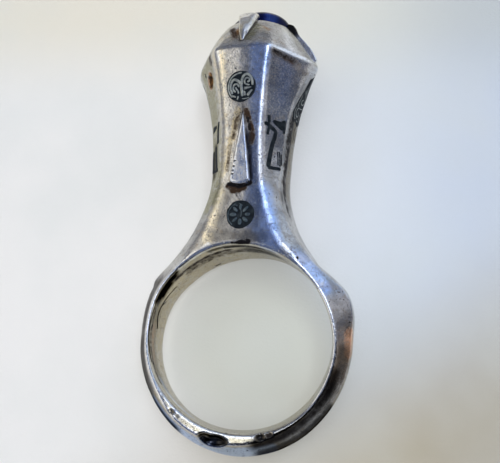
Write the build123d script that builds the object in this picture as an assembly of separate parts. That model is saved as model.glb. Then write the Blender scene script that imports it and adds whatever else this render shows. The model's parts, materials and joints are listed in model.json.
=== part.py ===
from build123d import *
import os
from math import atan2, cos, hypot, radians, sin

import numpy

# An old silver ring with a tall waisted tower that carries a domed blue stone.
# Worked out standing up: +X to the wearer's right, +Y towards the back, +Z up the tower,
# with the middle of the finger bore at the origin. At the end it is laid down on its back.

# Sizes of the hoop, in millimetres and degrees
BORE_RADIUS = 9.5
HOOP_LENGTH = 6.7
HOOP_WALL = 2.1
HOOP_TWIST = 18.9
BORE_OVERCUT = 0.5

# Depth of the small flats worn on the back, where the ring lies
REST_WEAR = 0.1

# Sizes of the tower
TOWER_HEIGHT = 21.6
GIRDLE_WIDTH = 15.2
GIRDLE_DEPTH = 12.9
FRONT_EDGE = 6.4
SIDE_FACE = 5.0

# Sizes of the roof, the cup and the stone
ROOF_HEIGHT = 4.5
ROOF_BULGE = 0.25
RIM_RADIUS = 4.3
CUP_WALL = 0.35
CUP_DEPTH = 1.6
STONE_GAP = 0.05
STONE_DOME = 2.6

# Sizes of the claws and spikes; the spike's apex is a share of the tower's height
CLAW_WIDTH = 1.75
CLAW_THICKNESS = 0.75
CLAW_REACH = 1.25
CLAW_GRIP = 0.6
SPIKE_APEX = 0.68
SPIKE_LENGTH = 8.0
SPIKE_WIDTH = 2.5
SPIKE_THICKNESS = 0.9
SEAT_DEPTH = 0.6

# Sizes of the dark inlays and their recesses; places are shares of the tower's height
UPPER_ROUNDEL = 1.67
LOWER_ROUNDEL = 1.55
INLAY_DEPTH = 0.4
INLAY_GAP = 0.04
STROKE = 0.42
UPPER_PLACE = 0.801
LOWER_PLACE = 0.147

# The tower's eight-sided sections. Heights are shares of the tower's height above the bore,
# edge of the front edge's half length, depth of the girdle's half depth, width of its half
# width and side of the side face's half width.
TOWER = [
    {"height": 0.050, "edge": 1.312, "depth": 0.612, "width": 0.796, "side": 1.000},
    {"height": 0.130, "edge": 1.090, "depth": 0.614, "width": 0.680, "side": 1.000},
    {"height": 0.306, "edge": 0.772, "depth": 0.636, "width": 0.542, "side": 0.900},
    {"height": 0.488, "edge": 0.703, "depth": 0.674, "width": 0.563, "side": 0.730},
    {"height": 0.694, "edge": 0.738, "depth": 0.764, "width": 0.632, "side": 0.700},
    {"height": 0.875, "edge": 0.869, "depth": 0.893, "width": 0.793, "side": 0.480},
    {"height": 1.000, "edge": 1.000, "depth": 1.000, "width": 1.000, "side": 0.120},
]

# The shoulders, where the tower runs down into the hoop. Heights and edges are shares of the
# bore's radius, width of the hoop's outer radius, depth and side of the hoop's half length.
SHOULDERS = [
    {"height": 0.590, "edge": 0.816, "depth": 0.880, "width": 0.870, "side": 0.500},
    {"height": 0.695, "edge": 0.737, "depth": 0.920, "width": 0.797, "side": 0.567},
    {"height": 0.800, "edge": 0.653, "depth": 0.990, "width": 0.711, "side": 0.657},
    {"height": 0.947, "edge": 0.544, "depth": 1.120, "width": 0.617, "side": 0.730},
]

# The hoop's six-sided sections, round from the right shoulder under the finger to the left.
# Angles are in degrees from +X, wall and bevel are shares of the hoop's wall, and front, back
# and band are shares of its half length.
HOOP = [
    {"angle": 44, "wall": 0.70, "front": 0.86, "back": 0.90, "band": 0.48, "bevel": 0.10},
    {"angle": 34, "wall": 0.97, "front": 0.89, "back": 0.90, "band": 0.48, "bevel": 0.10},
    {"angle": 25, "wall": 1.24, "front": 0.91, "back": 0.90, "band": 0.50, "bevel": 0.11},
    {"angle": 0, "wall": 1.02, "front": 0.90, "back": 0.90, "band": 0.51, "bevel": 0.16},
    {"angle": -30, "wall": 0.98, "front": 0.91, "back": 0.90, "band": 0.51, "bevel": 0.14},
    {"angle": -60, "wall": 1.07, "front": 0.94, "back": 0.91, "band": 0.51, "bevel": 0.22},
    {"angle": -90, "wall": 1.12, "front": 0.99, "back": 0.98, "band": 0.51, "bevel": 0.52},
    {"angle": -120, "wall": 0.96, "front": 1.07, "back": 1.05, "band": 0.51, "bevel": 0.55},
    {"angle": -150, "wall": 0.72, "front": 1.06, "back": 1.08, "band": 0.51, "bevel": 0.24},
    {"angle": -180, "wall": 0.63, "front": 0.93, "back": 0.94, "band": 0.50, "bevel": 0.14},
    {"angle": -210, "wall": 0.85, "front": 1.04, "back": 0.92, "band": 0.50, "bevel": 0.18},
    {"angle": -224, "wall": 0.78, "front": 1.02, "back": 0.95, "band": 0.49, "bevel": 0.20},
]

# Pits in the hoop's front bevel: an angle round the hoop, the wall as a share of the hoop's wall,
# across as a share of its half length, and the three half sizes of each in millimetres.
HOOP_PITS = [
    {"angle": -103, "wall": 0.50, "across": -1.00, "long": 1.15, "deep": 0.80, "tall": 0.70},
    {"angle": -77, "wall": 0.23, "across": -0.97, "long": 0.35, "deep": 0.40, "tall": 0.35},
    {"angle": -130, "wall": 0.29, "across": -1.08, "long": 0.55, "deep": 0.40, "tall": 0.50},
]

# The pit in the left chamfer face: height as a share of the tower's height, across as a share of
# the face's width, and its three half sizes.
FACE_PIT = {"height": 0.889, "across": 0.30, "long": 0.32, "deep": 0.32, "tall": 0.62}

# The stem ornament on a chamfer face: each stroke runs between two points, across as a share of
# the face's width from its front edge and up as a share of the ornament's height.
STEM_HEIGHT = 6.4
STEM_FOOT = 8.3
STEM = [
    {"from": (0.30, 1.00), "to": (0.26, 0.84)},
    {"from": (0.26, 0.84), "to": (0.55, 0.66)},
    {"from": (0.55, 0.66), "to": (0.42, 0.36)},
    {"from": (0.42, 0.36), "to": (0.28, 0.06)},
]
LEAVES = [
    {"root": (0.50, 0.70), "tip": (0.84, 0.92), "side": (0.82, 0.62)},
    {"root": (0.30, 0.12), "tip": (0.80, 0.10), "side": (0.62, 0.34)},
    {"root": (0.27, 0.86), "tip": (0.08, 0.80), "side": (0.22, 0.72)},
]

# The dark panel on a side face: heights are shares of the tower's height, half widths are
# shares of the side face's half width there.
BAND = [
    {"height": 0.955, "half": 0.40},
    {"height": 0.875, "half": 0.76},
    {"height": 0.780, "half": 0.82},
    {"height": 0.700, "half": 0.82},
    {"height": 0.665, "half": 0.40},
]

RIM_HEIGHT = BORE_RADIUS + TOWER_HEIGHT + ROOF_HEIGHT
GIRDLE_HEIGHT = BORE_RADIUS + TOWER_HEIGHT
OUTER_RADIUS = BORE_RADIUS + HOOP_WALL
STONE_RADIUS = RIM_RADIUS - CUP_WALL - STONE_GAP
BIG = 4 * GIRDLE_WIDTH


def twist_at(height):
    """Turn about the tower's axis, none above the bore and the whole twist under it."""
    return HOOP_TWIST * max(0.0, BORE_RADIUS - height) / (2 * BORE_RADIUS)


def turned(x, y, z, angle):
    """A point turned about the tower's axis by an angle in degrees."""
    c, s = cos(radians(angle)), sin(radians(angle))
    return Vector(x * c - y * s, x * s + y * c, z)


def octagon(edge, depth, width, side):
    """Corners of an eight-sided section, round from the front face's left end."""
    return [
        (-edge, -depth), (edge, -depth), (width, -side), (width, side),
        (edge, depth), (-edge, depth), (-width, side), (-width, -side),
    ]


def tower_rows():
    """Height and corner sizes of every tower section in millimetres, from the bottom up."""
    rows = []
    for row in SHOULDERS:
        rows.append((
            row["height"] * BORE_RADIUS,
            row["edge"] * BORE_RADIUS,
            row["depth"] * HOOP_LENGTH / 2,
            row["width"] * OUTER_RADIUS,
            row["side"] * HOOP_LENGTH / 2,
        ))
    for row in TOWER:
        rows.append((
            BORE_RADIUS + row["height"] * TOWER_HEIGHT,
            row["edge"] * FRONT_EDGE / 2,
            row["depth"] * GIRDLE_DEPTH / 2,
            row["width"] * GIRDLE_WIDTH / 2,
            row["side"] * SIDE_FACE / 2,
        ))
    return rows


def size_at(height):
    """Edge, depth, width and side of the tower at a height, between its table's rows."""
    rows = tower_rows()
    for low, high in zip(rows, rows[1:]):
        if height <= high[0]:
            share = (height - low[0]) / (high[0] - low[0])
            return [a + (b - a) * share for a, b in zip(low[1:], high[1:])]
    return list(rows[-1][1:])


def tower_solid():
    wires = []
    for height, edge, depth, width, side in tower_rows():
        twist = twist_at(height)
        corners = [turned(x, y, height, twist) for x, y in octagon(edge, depth, width, side)]
        wires.append(Wire.make_polygon(corners, close=True))
    return Solid.make_loft(wires, ruled=False)


def hoop_solid():
    wires = []
    for row in HOOP:
        angle = radians(row["angle"])
        inner = BORE_RADIUS - BORE_OVERCUT
        outer = BORE_RADIUS + row["wall"] * HOOP_WALL
        bevel = BORE_RADIUS + row["bevel"] * HOOP_WALL
        front, back, band = (row[k] * HOOP_LENGTH / 2 for k in ("front", "back", "band"))
        twist = twist_at((BORE_RADIUS + outer) / 2 * sin(angle))
        profile = [
            (inner, -front), (bevel, -front), (outer, -band),
            (outer, band), (bevel, back), (inner, back),
        ]
        corners = [turned(r * cos(angle), y, r * sin(angle), twist) for r, y in profile]
        wires.append(Wire.make_polygon(corners, close=True))
    return Solid.make_loft(wires, ruled=False)


def bore_axis():
    """Direction of the finger bore, turned by the twist at the bore's middle."""
    return turned(0, 1, 0, twist_at(0))


def roof_solid():
    """From the girdle's corners to the round rim, with the sides a little full."""
    edge, depth, width, side = size_at(GIRDLE_HEIGHT)
    corners = octagon(edge, depth, width, side)
    rim = []
    for x, y in corners:
        size = hypot(x, y)
        rim.append((x * RIM_RADIUS / size, y * RIM_RADIUS / size))
    mid = []
    for (x, y), (u, v) in zip(corners, rim):
        size = hypot(x + u, y + v) / 2
        full = (size + ROOF_BULGE) / size
        mid.append(((x + u) / 2 * full, (y + v) / 2 * full))

    def wire(points, height, bow):
        """A closed wire whose sides bow out from straight, 0, to round about the axis, 1."""
        edges = []
        for (x, y), (u, v) in zip(points, points[1:] + points[:1]):
            size = (hypot(x, y) + hypot(u, v)) / 2
            mx, my = (x + u) / 2, (y + v) / 2
            reach = hypot(mx, my)
            out = reach + (size - reach) * bow
            edges.append(Edge.make_three_point_arc(
                Vector(x, y, height),
                Vector(mx / reach * out, my / reach * out, height),
                Vector(u, v, height),
            ))
        return Wire(edges)

    base = Wire.make_polygon([Vector(x, y, GIRDLE_HEIGHT) for x, y in corners], close=True)
    straight_to_round = 0.6
    middle = wire(mid, GIRDLE_HEIGHT + ROOF_HEIGHT / 2, straight_to_round)
    top = wire(rim, RIM_HEIGHT, 1.0)
    return Solid.make_loft([base, middle, top], ruled=True)


def dome_profile(radius, base, dome):
    """Half outline of a domed stone: flat underneath, a short wall, then an arc to the top."""
    sphere = (radius ** 2 + dome ** 2) / (2 * dome)
    centre = RIM_HEIGHT + dome - sphere
    half = atan2(radius, RIM_HEIGHT - centre) / 2
    outline = [
        Edge.make_line((0, 0, base), (radius, 0, base)),
        Edge.make_line((radius, 0, base), (radius, 0, RIM_HEIGHT)),
        Edge.make_three_point_arc(
            (radius, 0, RIM_HEIGHT),
            (sphere * sin(half), 0, centre + sphere * cos(half)),
            (0, 0, RIM_HEIGHT + dome),
        ),
        Edge.make_line((0, 0, RIM_HEIGHT + dome), (0, 0, base)),
    ]
    return Face(Wire(outline))


def stone_solid():
    base = RIM_HEIGHT - CUP_DEPTH + STONE_GAP
    return Solid.revolve(dome_profile(STONE_RADIUS, base, STONE_DOME), 360, Axis.Z)


def stone_room():
    """The space the stone needs, cup and all, with its gap all round."""
    base = RIM_HEIGHT - CUP_DEPTH
    return Solid.revolve(dome_profile(STONE_RADIUS + STONE_GAP, base, STONE_DOME + STONE_GAP), 360, Axis.Z)


def wedge(outline, top_left, top_right, foot, turn):
    """A pointed piece: its side outline pushed across, cut to a triangle seen from the front.

    The outline's points are (out, up), out being the distance from the tower's axis."""
    across = max(abs(top_left[0]), abs(top_right[0])) + 1
    side = Face(Wire.make_polygon([Vector(-across, -out, up) for out, up in outline], close=True))
    slab = Solid.extrude(side, Vector(2 * across, 0, 0))
    front = Face(Wire.make_polygon(
        [Vector(x, -BIG, up) for x, up in (top_left, top_right, foot)], close=True))
    piece = slab & Solid.extrude(front, Vector(0, BIG, 0))
    return piece.rotate(Axis.Z, turn)


def claw(reach, turn):
    """A claw from near the girdle, whose reach is given, up the roof and over the stone's edge."""
    tip_share, mid_share = 0.22, 0.5
    feather = 0.05

    def over_roof(share, thickness):
        """Point of the outline over the roof at a share of its height."""
        bulge = ROOF_BULGE * (1 - abs(2 * share - 1))
        return reach + (RIM_RADIUS - reach) * share + bulge + thickness, GIRDLE_HEIGHT + share * ROOF_HEIGHT

    tip_up = GIRDLE_HEIGHT + tip_share * ROOF_HEIGHT
    crest = RIM_HEIGHT + CLAW_REACH
    outline = [
        over_roof(tip_share / 2, -SEAT_DEPTH),
        over_roof(tip_share, feather),
        over_roof(mid_share, 0.6 * CLAW_THICKNESS),
        over_roof(0.95, CLAW_THICKNESS),
        (RIM_RADIUS + 0.45 * CLAW_THICKNESS, RIM_HEIGHT + 0.6 * CLAW_REACH),
        (STONE_RADIUS, crest),
        (STONE_RADIUS - CLAW_GRIP, crest - 0.12 * CLAW_REACH),
        (STONE_RADIUS - CLAW_GRIP, RIM_HEIGHT),
        (RIM_RADIUS - CUP_WALL / 2, RIM_HEIGHT - SEAT_DEPTH),
    ]
    top, point = crest + feather, tip_up - CLAW_GRIP / 2
    half = CLAW_WIDTH / 2 * (top - point) / (RIM_HEIGHT - point)
    return wedge(outline, (-half, top), (half, top), (0, point), turn)


def spike(turn):
    """The long pointed piece soldered on the front or back face, thick at its lower end."""
    apex = BORE_RADIUS + SPIKE_APEX * TOWER_HEIGHT
    base = apex - SPIKE_LENGTH
    feather = 0.05
    outline = [
        (size_at(apex)[1] - SEAT_DEPTH, apex),
        (size_at(apex)[1] + feather, apex),
        (size_at(base)[1] + SPIKE_THICKNESS, base),
        (size_at(base)[1] - SEAT_DEPTH, base),
    ]
    half = SPIKE_WIDTH / 2
    return wedge(outline, (-half, base), (half, base), (0, apex), turn)


def face_frame(height, turn):
    """Plane on the front face, or on the back one when turned, at a height."""
    step = 0.3
    slope = (size_at(height + step)[1] - size_at(height - step)[1]) / (2 * step)
    origin = Vector(0, -size_at(height)[1], height)
    return Plane(
        origin.rotate(Axis.Z, turn),
        x_dir=Vector(1, 0, 0).rotate(Axis.Z, turn),
        z_dir=Vector(0, -1, -slope).rotate(Axis.Z, turn),
    )


def chamfer_frame(height, sign_x, sign_y):
    """Plane on a chamfer face at its middle: x runs from the front or back face to the side face."""
    step = 0.3

    def middle(at):
        edge, depth, width, side = size_at(at)
        return Vector(sign_x * (edge + width) / 2, sign_y * (depth + side) / 2, at)

    edge, depth, width, side = size_at(height)
    along = Vector(sign_x * (width - edge), -sign_y * (depth - side), 0).normalized()
    up = (middle(height + step) - middle(height - step)).normalized()
    normal = along.cross(up)
    if normal.dot(middle(height)) < 0:
        normal = normal * -1
    return Plane(middle(height), x_dir=along, z_dir=normal), hypot(width - edge, depth - side)


def pushed(plane, points, low, high):
    """Prism on a plane from a closed outline, between two heights over it."""
    corners = [plane.from_local_coords(Vector(x, y, low)) for x, y in points]
    return Solid.extrude(Face(Wire.make_polygon(corners, close=True)), plane.z_dir * (high - low))


def disc_room(height, radius, turn, gap):
    """Round recess across a face, or with a gap the inlay that goes in it."""
    plane = face_frame(height, turn)
    low = -INLAY_DEPTH + gap
    seat = Plane(plane.origin + plane.z_dir * low, x_dir=plane.x_dir, z_dir=plane.z_dir)
    return Solid.make_cylinder(radius - gap, 2 * INLAY_DEPTH - low, seat)


def bar_outline(start, end, half):
    """Corners of a straight bar with square ends that reach past its two points by its half width."""
    size = hypot(end[0] - start[0], end[1] - start[1])
    ux, uy = (end[0] - start[0]) / size * half, (end[1] - start[1]) / size * half
    return [
        (start[0] - ux - uy, start[1] - uy + ux),
        (start[0] - ux + uy, start[1] - uy - ux),
        (end[0] + ux + uy, end[1] + uy - ux),
        (end[0] + ux - uy, end[1] + uy + ux),
    ]


def stem_room(sign_x, sign_y, gap):
    """The stem ornament cut into a chamfer face, or with a gap its inlay."""
    plane, width = chamfer_frame(BORE_RADIUS + STEM_FOOT + STEM_HEIGHT / 2, sign_x, sign_y)
    up = 1 if plane.y_dir.Z > 0 else -1
    low, high = -INLAY_DEPTH + gap, 2 * INLAY_DEPTH

    def place(point):
        return (point[0] - 0.5) * width, up * (point[1] - 0.5) * STEM_HEIGHT

    parts = []
    for stroke in STEM:
        outline = bar_outline(place(stroke["from"]), place(stroke["to"]), STROKE / 2 - gap)
        parts.append(pushed(plane, outline, low, high))
    for leaf in LEAVES:
        points = [place(leaf[corner]) for corner in ("root", "tip", "side")]
        middle = [sum(values) / 3 for values in zip(*points)]
        outline = []
        for x, y in points:
            size = hypot(x - middle[0], y - middle[1])
            share = 1 - 2 * gap / size
            outline.append((middle[0] + (x - middle[0]) * share, middle[1] + (y - middle[1]) * share))
        parts.append(pushed(plane, outline, low, high))
    return parts[0].fuse(*parts[1:])


def band_room(sign_x, gap):
    """The long dark panel on a side face, narrow under the girdle, or with a gap its inlay."""
    left, right, floor = [], [], []
    for row in BAND:
        up = BORE_RADIUS + row["height"] * TOWER_HEIGHT
        half = size_at(up)[3] * row["half"] - gap
        left.append(Vector(0, -half, up))
        right.append(Vector(0, half, up))
        floor.append(Vector(sign_x * (size_at(up)[2] - INLAY_DEPTH + gap), 0, up))
    shift = Vector(0, 0, gap)
    for side in (left, right):
        side[0], side[-1] = side[0] - shift, side[-1] + shift
    outline = Face(Wire.make_polygon(left + right[::-1], close=True))
    panel = Solid.extrude(outline, Vector(sign_x * BIG, 0, 0))
    far = Vector(sign_x * BIG, 0, 0)
    lift = Vector(0, 0, 1)
    profile = [floor[0] + lift] + floor + [floor[-1] - lift, floor[-1] - lift + far, floor[0] + lift + far]
    across = Vector(0, SIDE_FACE, 0)
    slab = Solid.extrude(Face(Wire.make_polygon([p - across for p in profile], close=True)), across * 2)
    return panel & slab


def pit_rooms():
    """The rounded holes left by the casting, in the hoop and in the left chamfer face."""
    places = []
    for pit in HOOP_PITS:
        angle = radians(pit["angle"])
        radius = BORE_RADIUS + pit["wall"] * HOOP_WALL
        height = radius * sin(angle)
        across = pit["across"] * HOOP_LENGTH / 2
        places.append((turned(radius * cos(angle), across, height, twist_at(height)), pit))
    plane, width = chamfer_frame(BORE_RADIUS + FACE_PIT["height"] * TOWER_HEIGHT, -1, -1)
    places.append((plane.origin + plane.x_dir * (FACE_PIT["across"] - 0.5) * width, FACE_PIT))
    rooms = []
    for place, pit in places:
        scale = Matrix([
            [pit["long"], 0, 0, place.X],
            [0, pit["deep"], 0, place.Y],
            [0, 0, pit["tall"], place.Z],
        ])
        rooms.append(Solid.make_sphere(1.0).transform_geometry(scale))
    return rooms


def one_solid(shape):
    """The single solid of a result, which may come back as a list or a compound."""
    solids = shape.solids()
    assert len(solids) == 1, f"expected one solid, got {len(solids)}"
    return solids[0]


def ring_pieces():
    """Every piece standing up, by name."""
    plain = tower_solid().fuse(hoop_solid())
    axis = bore_axis()
    bore = Solid.make_cylinder(BORE_RADIUS, BIG, Plane(axis * (-BIG / 2), z_dir=axis))
    plain = one_solid(plain.cut(bore).fuse(roof_solid()))

    rooms = {}
    for where, turn in (("front", 0), ("back", 180)):
        upper = BORE_RADIUS + UPPER_PLACE * TOWER_HEIGHT
        lower = BORE_RADIUS + LOWER_PLACE * TOWER_HEIGHT
        rooms[f"niello_{where}_upper"] = (disc_room, (upper, UPPER_ROUNDEL, turn))
        rooms[f"niello_{where}_lower"] = (disc_room, (lower, LOWER_ROUNDEL, turn))
        for side, sign_x in (("right", 1), ("left", -1)):
            rooms[f"niello_stem_{side}_{where}"] = (stem_room, (sign_x, -1 if turn == 0 else 1))
    rooms["niello_band_right"] = (band_room, (1,))
    rooms["niello_band_left"] = (band_room, (-1,))

    pieces = {}
    for name, (make, sizes) in rooms.items():
        pieces[name] = one_solid(plain & make(*sizes, INLAY_GAP))

    body = plain
    for turn in (0, 180):
        body = body.fuse(claw(GIRDLE_DEPTH / 2, turn), claw(GIRDLE_WIDTH / 2, turn + 90), spike(turn))
    body = body.cut(stone_room(), *[make(*sizes, 0) for make, sizes in rooms.values()])
    body = body.cut(*pit_rooms())
    pieces["ring_body"] = one_solid(body)
    pieces["sapphire"] = one_solid(stone_solid())
    return pieces


def lowest(function, low, high, tries=40):
    """Where a valley-shaped function is least between two values."""
    for _ in range(tries):
        third = (high - low) / 3
        if function(low + third) < function(high - third):
            high -= third
        else:
            low += third
    return (low + high) / 2


def resting_plane(body):
    """Plane under the ring when it has come to rest on its back, z up.

    Starts with the back straight down, then rolls over, a flat of the hull at a time, until the
    centre of mass is over the flat that it rests on."""
    points = numpy.array([tuple(p) for p in body.tessellate(0.02, 0.2)[0]])
    centre = numpy.array(tuple(body.center(CenterOf.MASS)))
    down = numpy.array([0.0, 1.0, 0.0])
    steepest, rolls = 0.5, 12
    for _ in range(rolls):
        side = numpy.cross((0.0, 0.0, 1.0), down)
        side /= numpy.linalg.norm(side)
        tower = numpy.cross(down, side)

        def room(across, along):
            """How far under the centre a plane of that slope touches the ring."""
            return ((points - centre) @ (down + across * side + along * tower)).max()

        def best_along(across):
            return lowest(lambda along: room(across, along), -steepest, steepest)

        across = lowest(lambda a: room(a, best_along(a)), -steepest, steepest)
        before, down = down, down + across * side + best_along(across) * tower
        down /= numpy.linalg.norm(down)
        if numpy.linalg.norm(down - before) < 1e-4:
            break
    up = Vector(*-down)
    lift = (points @ down).max()
    tower = Vector(0, 0, 1) - up * up.Z
    return Plane(up * -lift, x_dir=tower.cross(up), z_dir=up)


def laid_down(pieces):
    """The pieces on the ring's back, over the origin, with the flats that it has worn there."""
    plane = resting_plane(pieces["ring_body"])
    lying = {name: plane.to_local_coords(piece) for name, piece in pieces.items()}
    body = lying["ring_body"]
    flats = Plane((0, 0, body.bounding_box().min.Z + REST_WEAR), z_dir=(0, 0, 1))
    lying["ring_body"] = one_solid(body.split(flats, keep=Keep.TOP))
    boxes = [piece.bounding_box() for piece in lying.values()]
    middle_x = (min(b.min.X for b in boxes) + max(b.max.X for b in boxes)) / 2
    middle_y = (min(b.min.Y for b in boxes) + max(b.max.Y for b in boxes)) / 2
    shift = Vector(-middle_x, -middle_y, -min(b.min.Z for b in boxes))
    return {name: piece.moved(Location(shift)) for name, piece in lying.items()}


os.makedirs("parts", exist_ok=True)
PIECES = laid_down(ring_pieces())
for NAME, PIECE in PIECES.items():
    export_step(PIECE, f"parts/{NAME}.step")
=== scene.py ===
import json
from functools import partialmethod

import bpy
import numpy as np
from mathutils import Matrix, Vector


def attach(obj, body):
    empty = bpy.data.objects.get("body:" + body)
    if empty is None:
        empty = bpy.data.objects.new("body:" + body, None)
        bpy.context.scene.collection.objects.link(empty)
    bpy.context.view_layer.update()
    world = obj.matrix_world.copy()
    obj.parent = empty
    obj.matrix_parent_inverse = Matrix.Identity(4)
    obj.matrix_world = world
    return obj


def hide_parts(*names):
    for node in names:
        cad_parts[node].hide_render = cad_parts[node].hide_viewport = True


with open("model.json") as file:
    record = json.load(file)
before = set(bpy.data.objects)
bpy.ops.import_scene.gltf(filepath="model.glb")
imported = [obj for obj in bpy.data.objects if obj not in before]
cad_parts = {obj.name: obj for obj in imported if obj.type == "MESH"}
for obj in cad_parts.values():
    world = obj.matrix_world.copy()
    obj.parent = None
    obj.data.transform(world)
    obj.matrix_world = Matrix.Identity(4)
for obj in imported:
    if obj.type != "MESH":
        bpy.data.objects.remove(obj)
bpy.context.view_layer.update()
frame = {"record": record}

# An old silver ring with a tall waisted tower and a domed blue stone, lying on its back.
# Shapes are worked out in millimetres with the ring standing up: x to its right, y to its back,
# z up the tower, and the middle of the finger bore at the origin. lay_down() puts them in the frame.

MM = 0.001


def table(columns, rows):
    """Rows of values named by the columns."""
    return [dict(zip(columns.split(), row)) for row in rows]


# Sizes, all but the spikes' width and shift shared with the part
BORE_RADIUS = 9.5
HOOP_LENGTH = 6.7
HOOP_WALL = 2.1
HOOP_TWIST = 18.9
TOWER_HEIGHT = 21.6
GIRDLE_WIDTH = 15.2
GIRDLE_DEPTH = 12.9
FRONT_EDGE = 6.4
SIDE_FACE = 5.0
ROOF_HEIGHT = 4.5
ROOF_BULGE = 0.25
RIM_RADIUS = 4.3
CUP_WALL = 0.35
CUP_DEPTH = 1.6
STONE_GAP = 0.05
STONE_DOME = 2.6
CLAW_WIDTH = 1.75
CLAW_GRIP = 0.6
SEAT_DEPTH = 0.6
SPIKE_APEX = 0.68
SPIKE_LENGTH = 8.0
SPIKE_WIDTH = 2.4
SPIKE_THICKNESS = 0.9
SPIKE_SHIFT = 0.17
UPPER_ROUNDEL = 1.67
LOWER_ROUNDEL = 1.55
GIRDLE_HEIGHT = BORE_RADIUS + TOWER_HEIGHT
RIM_HEIGHT = GIRDLE_HEIGHT + ROOF_HEIGHT
OUTER_RADIUS = BORE_RADIUS + HOOP_WALL
STONE_RADIUS = RIM_RADIUS - CUP_WALL - STONE_GAP

# The spikes' tips and lower ends over the bore's middle, and how fast each side spreads
SPIKE_SLIM = 0.9
SPIKE_TOP = BORE_RADIUS + SPIKE_APEX * TOWER_HEIGHT
SPIKE_BASE = SPIKE_TOP - SPIKE_LENGTH
SPIKE_LEAN = SPIKE_SLIM * SPIKE_WIDTH / 2 / SPIKE_LENGTH

# How the ring lies: the way up, in the ring's own directions, and the middle of its bore
REST_UP = Vector((0.180665, -0.980259, 0.080332))
BORE_PLACE = Vector(frame["record"]["mounts"][0]["pos_m"])

# The tower's eight-sided sections, as shares of its named sizes
TOWER = table("height edge depth width side", [
    (0.050, 1.312, 0.612, 0.796, 1.000),
    (0.130, 1.090, 0.614, 0.680, 1.000),
    (0.306, 0.772, 0.636, 0.542, 0.900),
    (0.488, 0.703, 0.674, 0.563, 0.730),
    (0.694, 0.738, 0.764, 0.632, 0.700),
    (0.875, 0.869, 0.893, 0.793, 0.480),
    (1.000, 1.000, 1.000, 1.000, 0.120),
])

# The shoulders under it, as shares of the bore's radius, the hoop's radius and its half length
SHOULDERS = table("height edge depth width side", [
    (0.590, 0.816, 0.880, 0.870, 0.500),
    (0.695, 0.737, 0.920, 0.797, 0.567),
    (0.800, 0.653, 0.990, 0.711, 0.657),
    (0.947, 0.544, 1.120, 0.617, 0.730),
])

# The hoop's sections round from the left shoulder under the finger to the right one. Wall and
# bevel are shares of its wall, front, back and band of its half length, and wear is how far the
# bore's wall is worn out from its true radius, in millimetres.
HOOP = table("angle wall front back band bevel wear", [
    (-270, 0.75, 0.90, 0.90, 0.48, 0.15, 0.00),
    (-224, 0.78, 1.02, 0.95, 0.49, 0.20, 0.10),
    (-210, 0.85, 1.04, 0.92, 0.50, 0.18, 0.14),
    (-180, 0.63, 0.93, 0.94, 0.50, 0.14, 0.00),
    (-150, 0.72, 1.06, 1.08, 0.51, 0.24, 0.00),
    (-120, 0.96, 1.07, 1.05, 0.51, 0.55, 0.04),
    (-90, 1.12, 0.99, 0.98, 0.51, 0.52, 0.05),
    (-60, 1.07, 0.94, 0.91, 0.51, 0.22, 0.14),
    (-30, 0.98, 0.91, 0.90, 0.51, 0.14, 0.00),
    (0, 1.02, 0.90, 0.90, 0.51, 0.16, 0.00),
    (25, 1.24, 0.91, 0.90, 0.50, 0.11, 0.00),
    (34, 0.97, 0.89, 0.90, 0.48, 0.10, 0.00),
    (44, 0.70, 0.86, 0.90, 0.48, 0.10, 0.00),
    (90, 0.75, 0.90, 0.90, 0.48, 0.15, 0.00),
])

# Pits left by the casting, each with a place on the standing ring and half sizes along x, y and z
PITS = table("at half dirt", [
    ((-1.06, -4.05, -10.45), (1.25, 0.95, 0.66), "smoke"),
    ((-2.00, -4.50, -10.10), (0.60, 0.70, 0.45), "smoke"),
    ((3.19, -2.45, -9.75), (0.46, 0.45, 0.38), "smoke"),
    ((3.95, -2.15, -9.50), (0.30, 0.36, 0.28), "brown"),
    ((-5.22, -5.60, -7.76), (0.30, 0.26, 0.28), "ochre"),
    ((-4.65, -5.55, -8.15), (0.22, 0.22, 0.20), "ochre"),
    ((-4.62, -3.60, 28.80), (0.80, 0.80, 0.95), "rust"),
])

# The four claws, in millimetres: each one's turn about the tower in degrees, how far its crest
# stands over the rim, its thickness and how softly its right edge is rounded
CLAWS = table("name turn rise thick soft", [
    ("front", 0, 1.05, 0.75, 0.72),
    ("right", 90, 1.15, 0.34, 0.13),
    ("back", 180, 1.25, 0.75, 0.30),
    ("left", 270, 1.05, 0.40, 0.13),
])

# Half of the width of a claw's lower end and the fullness of its face, in millimetres
BLUNT = 0.20
CLAW_BULGE = 0.10

# Notches filed across the spike's lower left edge: height over its lower end, and their half
# sizes across, up and into the spike and how deep they cut, in millimetres
SPIKE_NOTCHES = (0.75, 1.15, 1.60, 2.20)
NOTCH_ACROSS = 0.26
NOTCH_TALL = 0.11
NOTCH_INTO = 0.07
NOTCH_CUT = 0.04

# Roundings of the edges, in millimetres
LEFT_EDGE = 0.55
RIGHT_EDGE = 0.44
FLANK_EDGE = 0.35
CORNER_EDGE = 1.3
CORNER_REACH = 4
GIRDLE_EDGE = 0.32
HOOP_EDGE = 0.30
BEVEL_EDGE = 0.16
BORE_EDGE = 0.45
CUP_EDGE = 0.06
PIECE_EDGE = 0.13
PIT_EDGE = 0.24
SPIKE_EDGE = 0.20
STONE_EDGE = 0.25
TOUCH_EDGE = 0.05
SHOULDER_FILLET = 0.7
FACE_BULGE = 0.16

# Spacing of the points of the body and of the finer pieces, in millimetres
CELL = 0.18
FINE_CELL = 0.075
STONE_CELL = 0.12
COARSE_STEP = 4

# Slight waves of the silver, in millimetres: their height, how far apart they are and their seed
BODY_WAVES = ((0.035, 2.6, 3), (0.012, 0.9, 4))
PIECE_WAVE = 0.012
STONE_WAVE = 0.02

# The power of the dome's curve, and how much fuller it is to the right
DOME_POWER = 2.15
DOME_FULLER = 0.85

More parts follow.
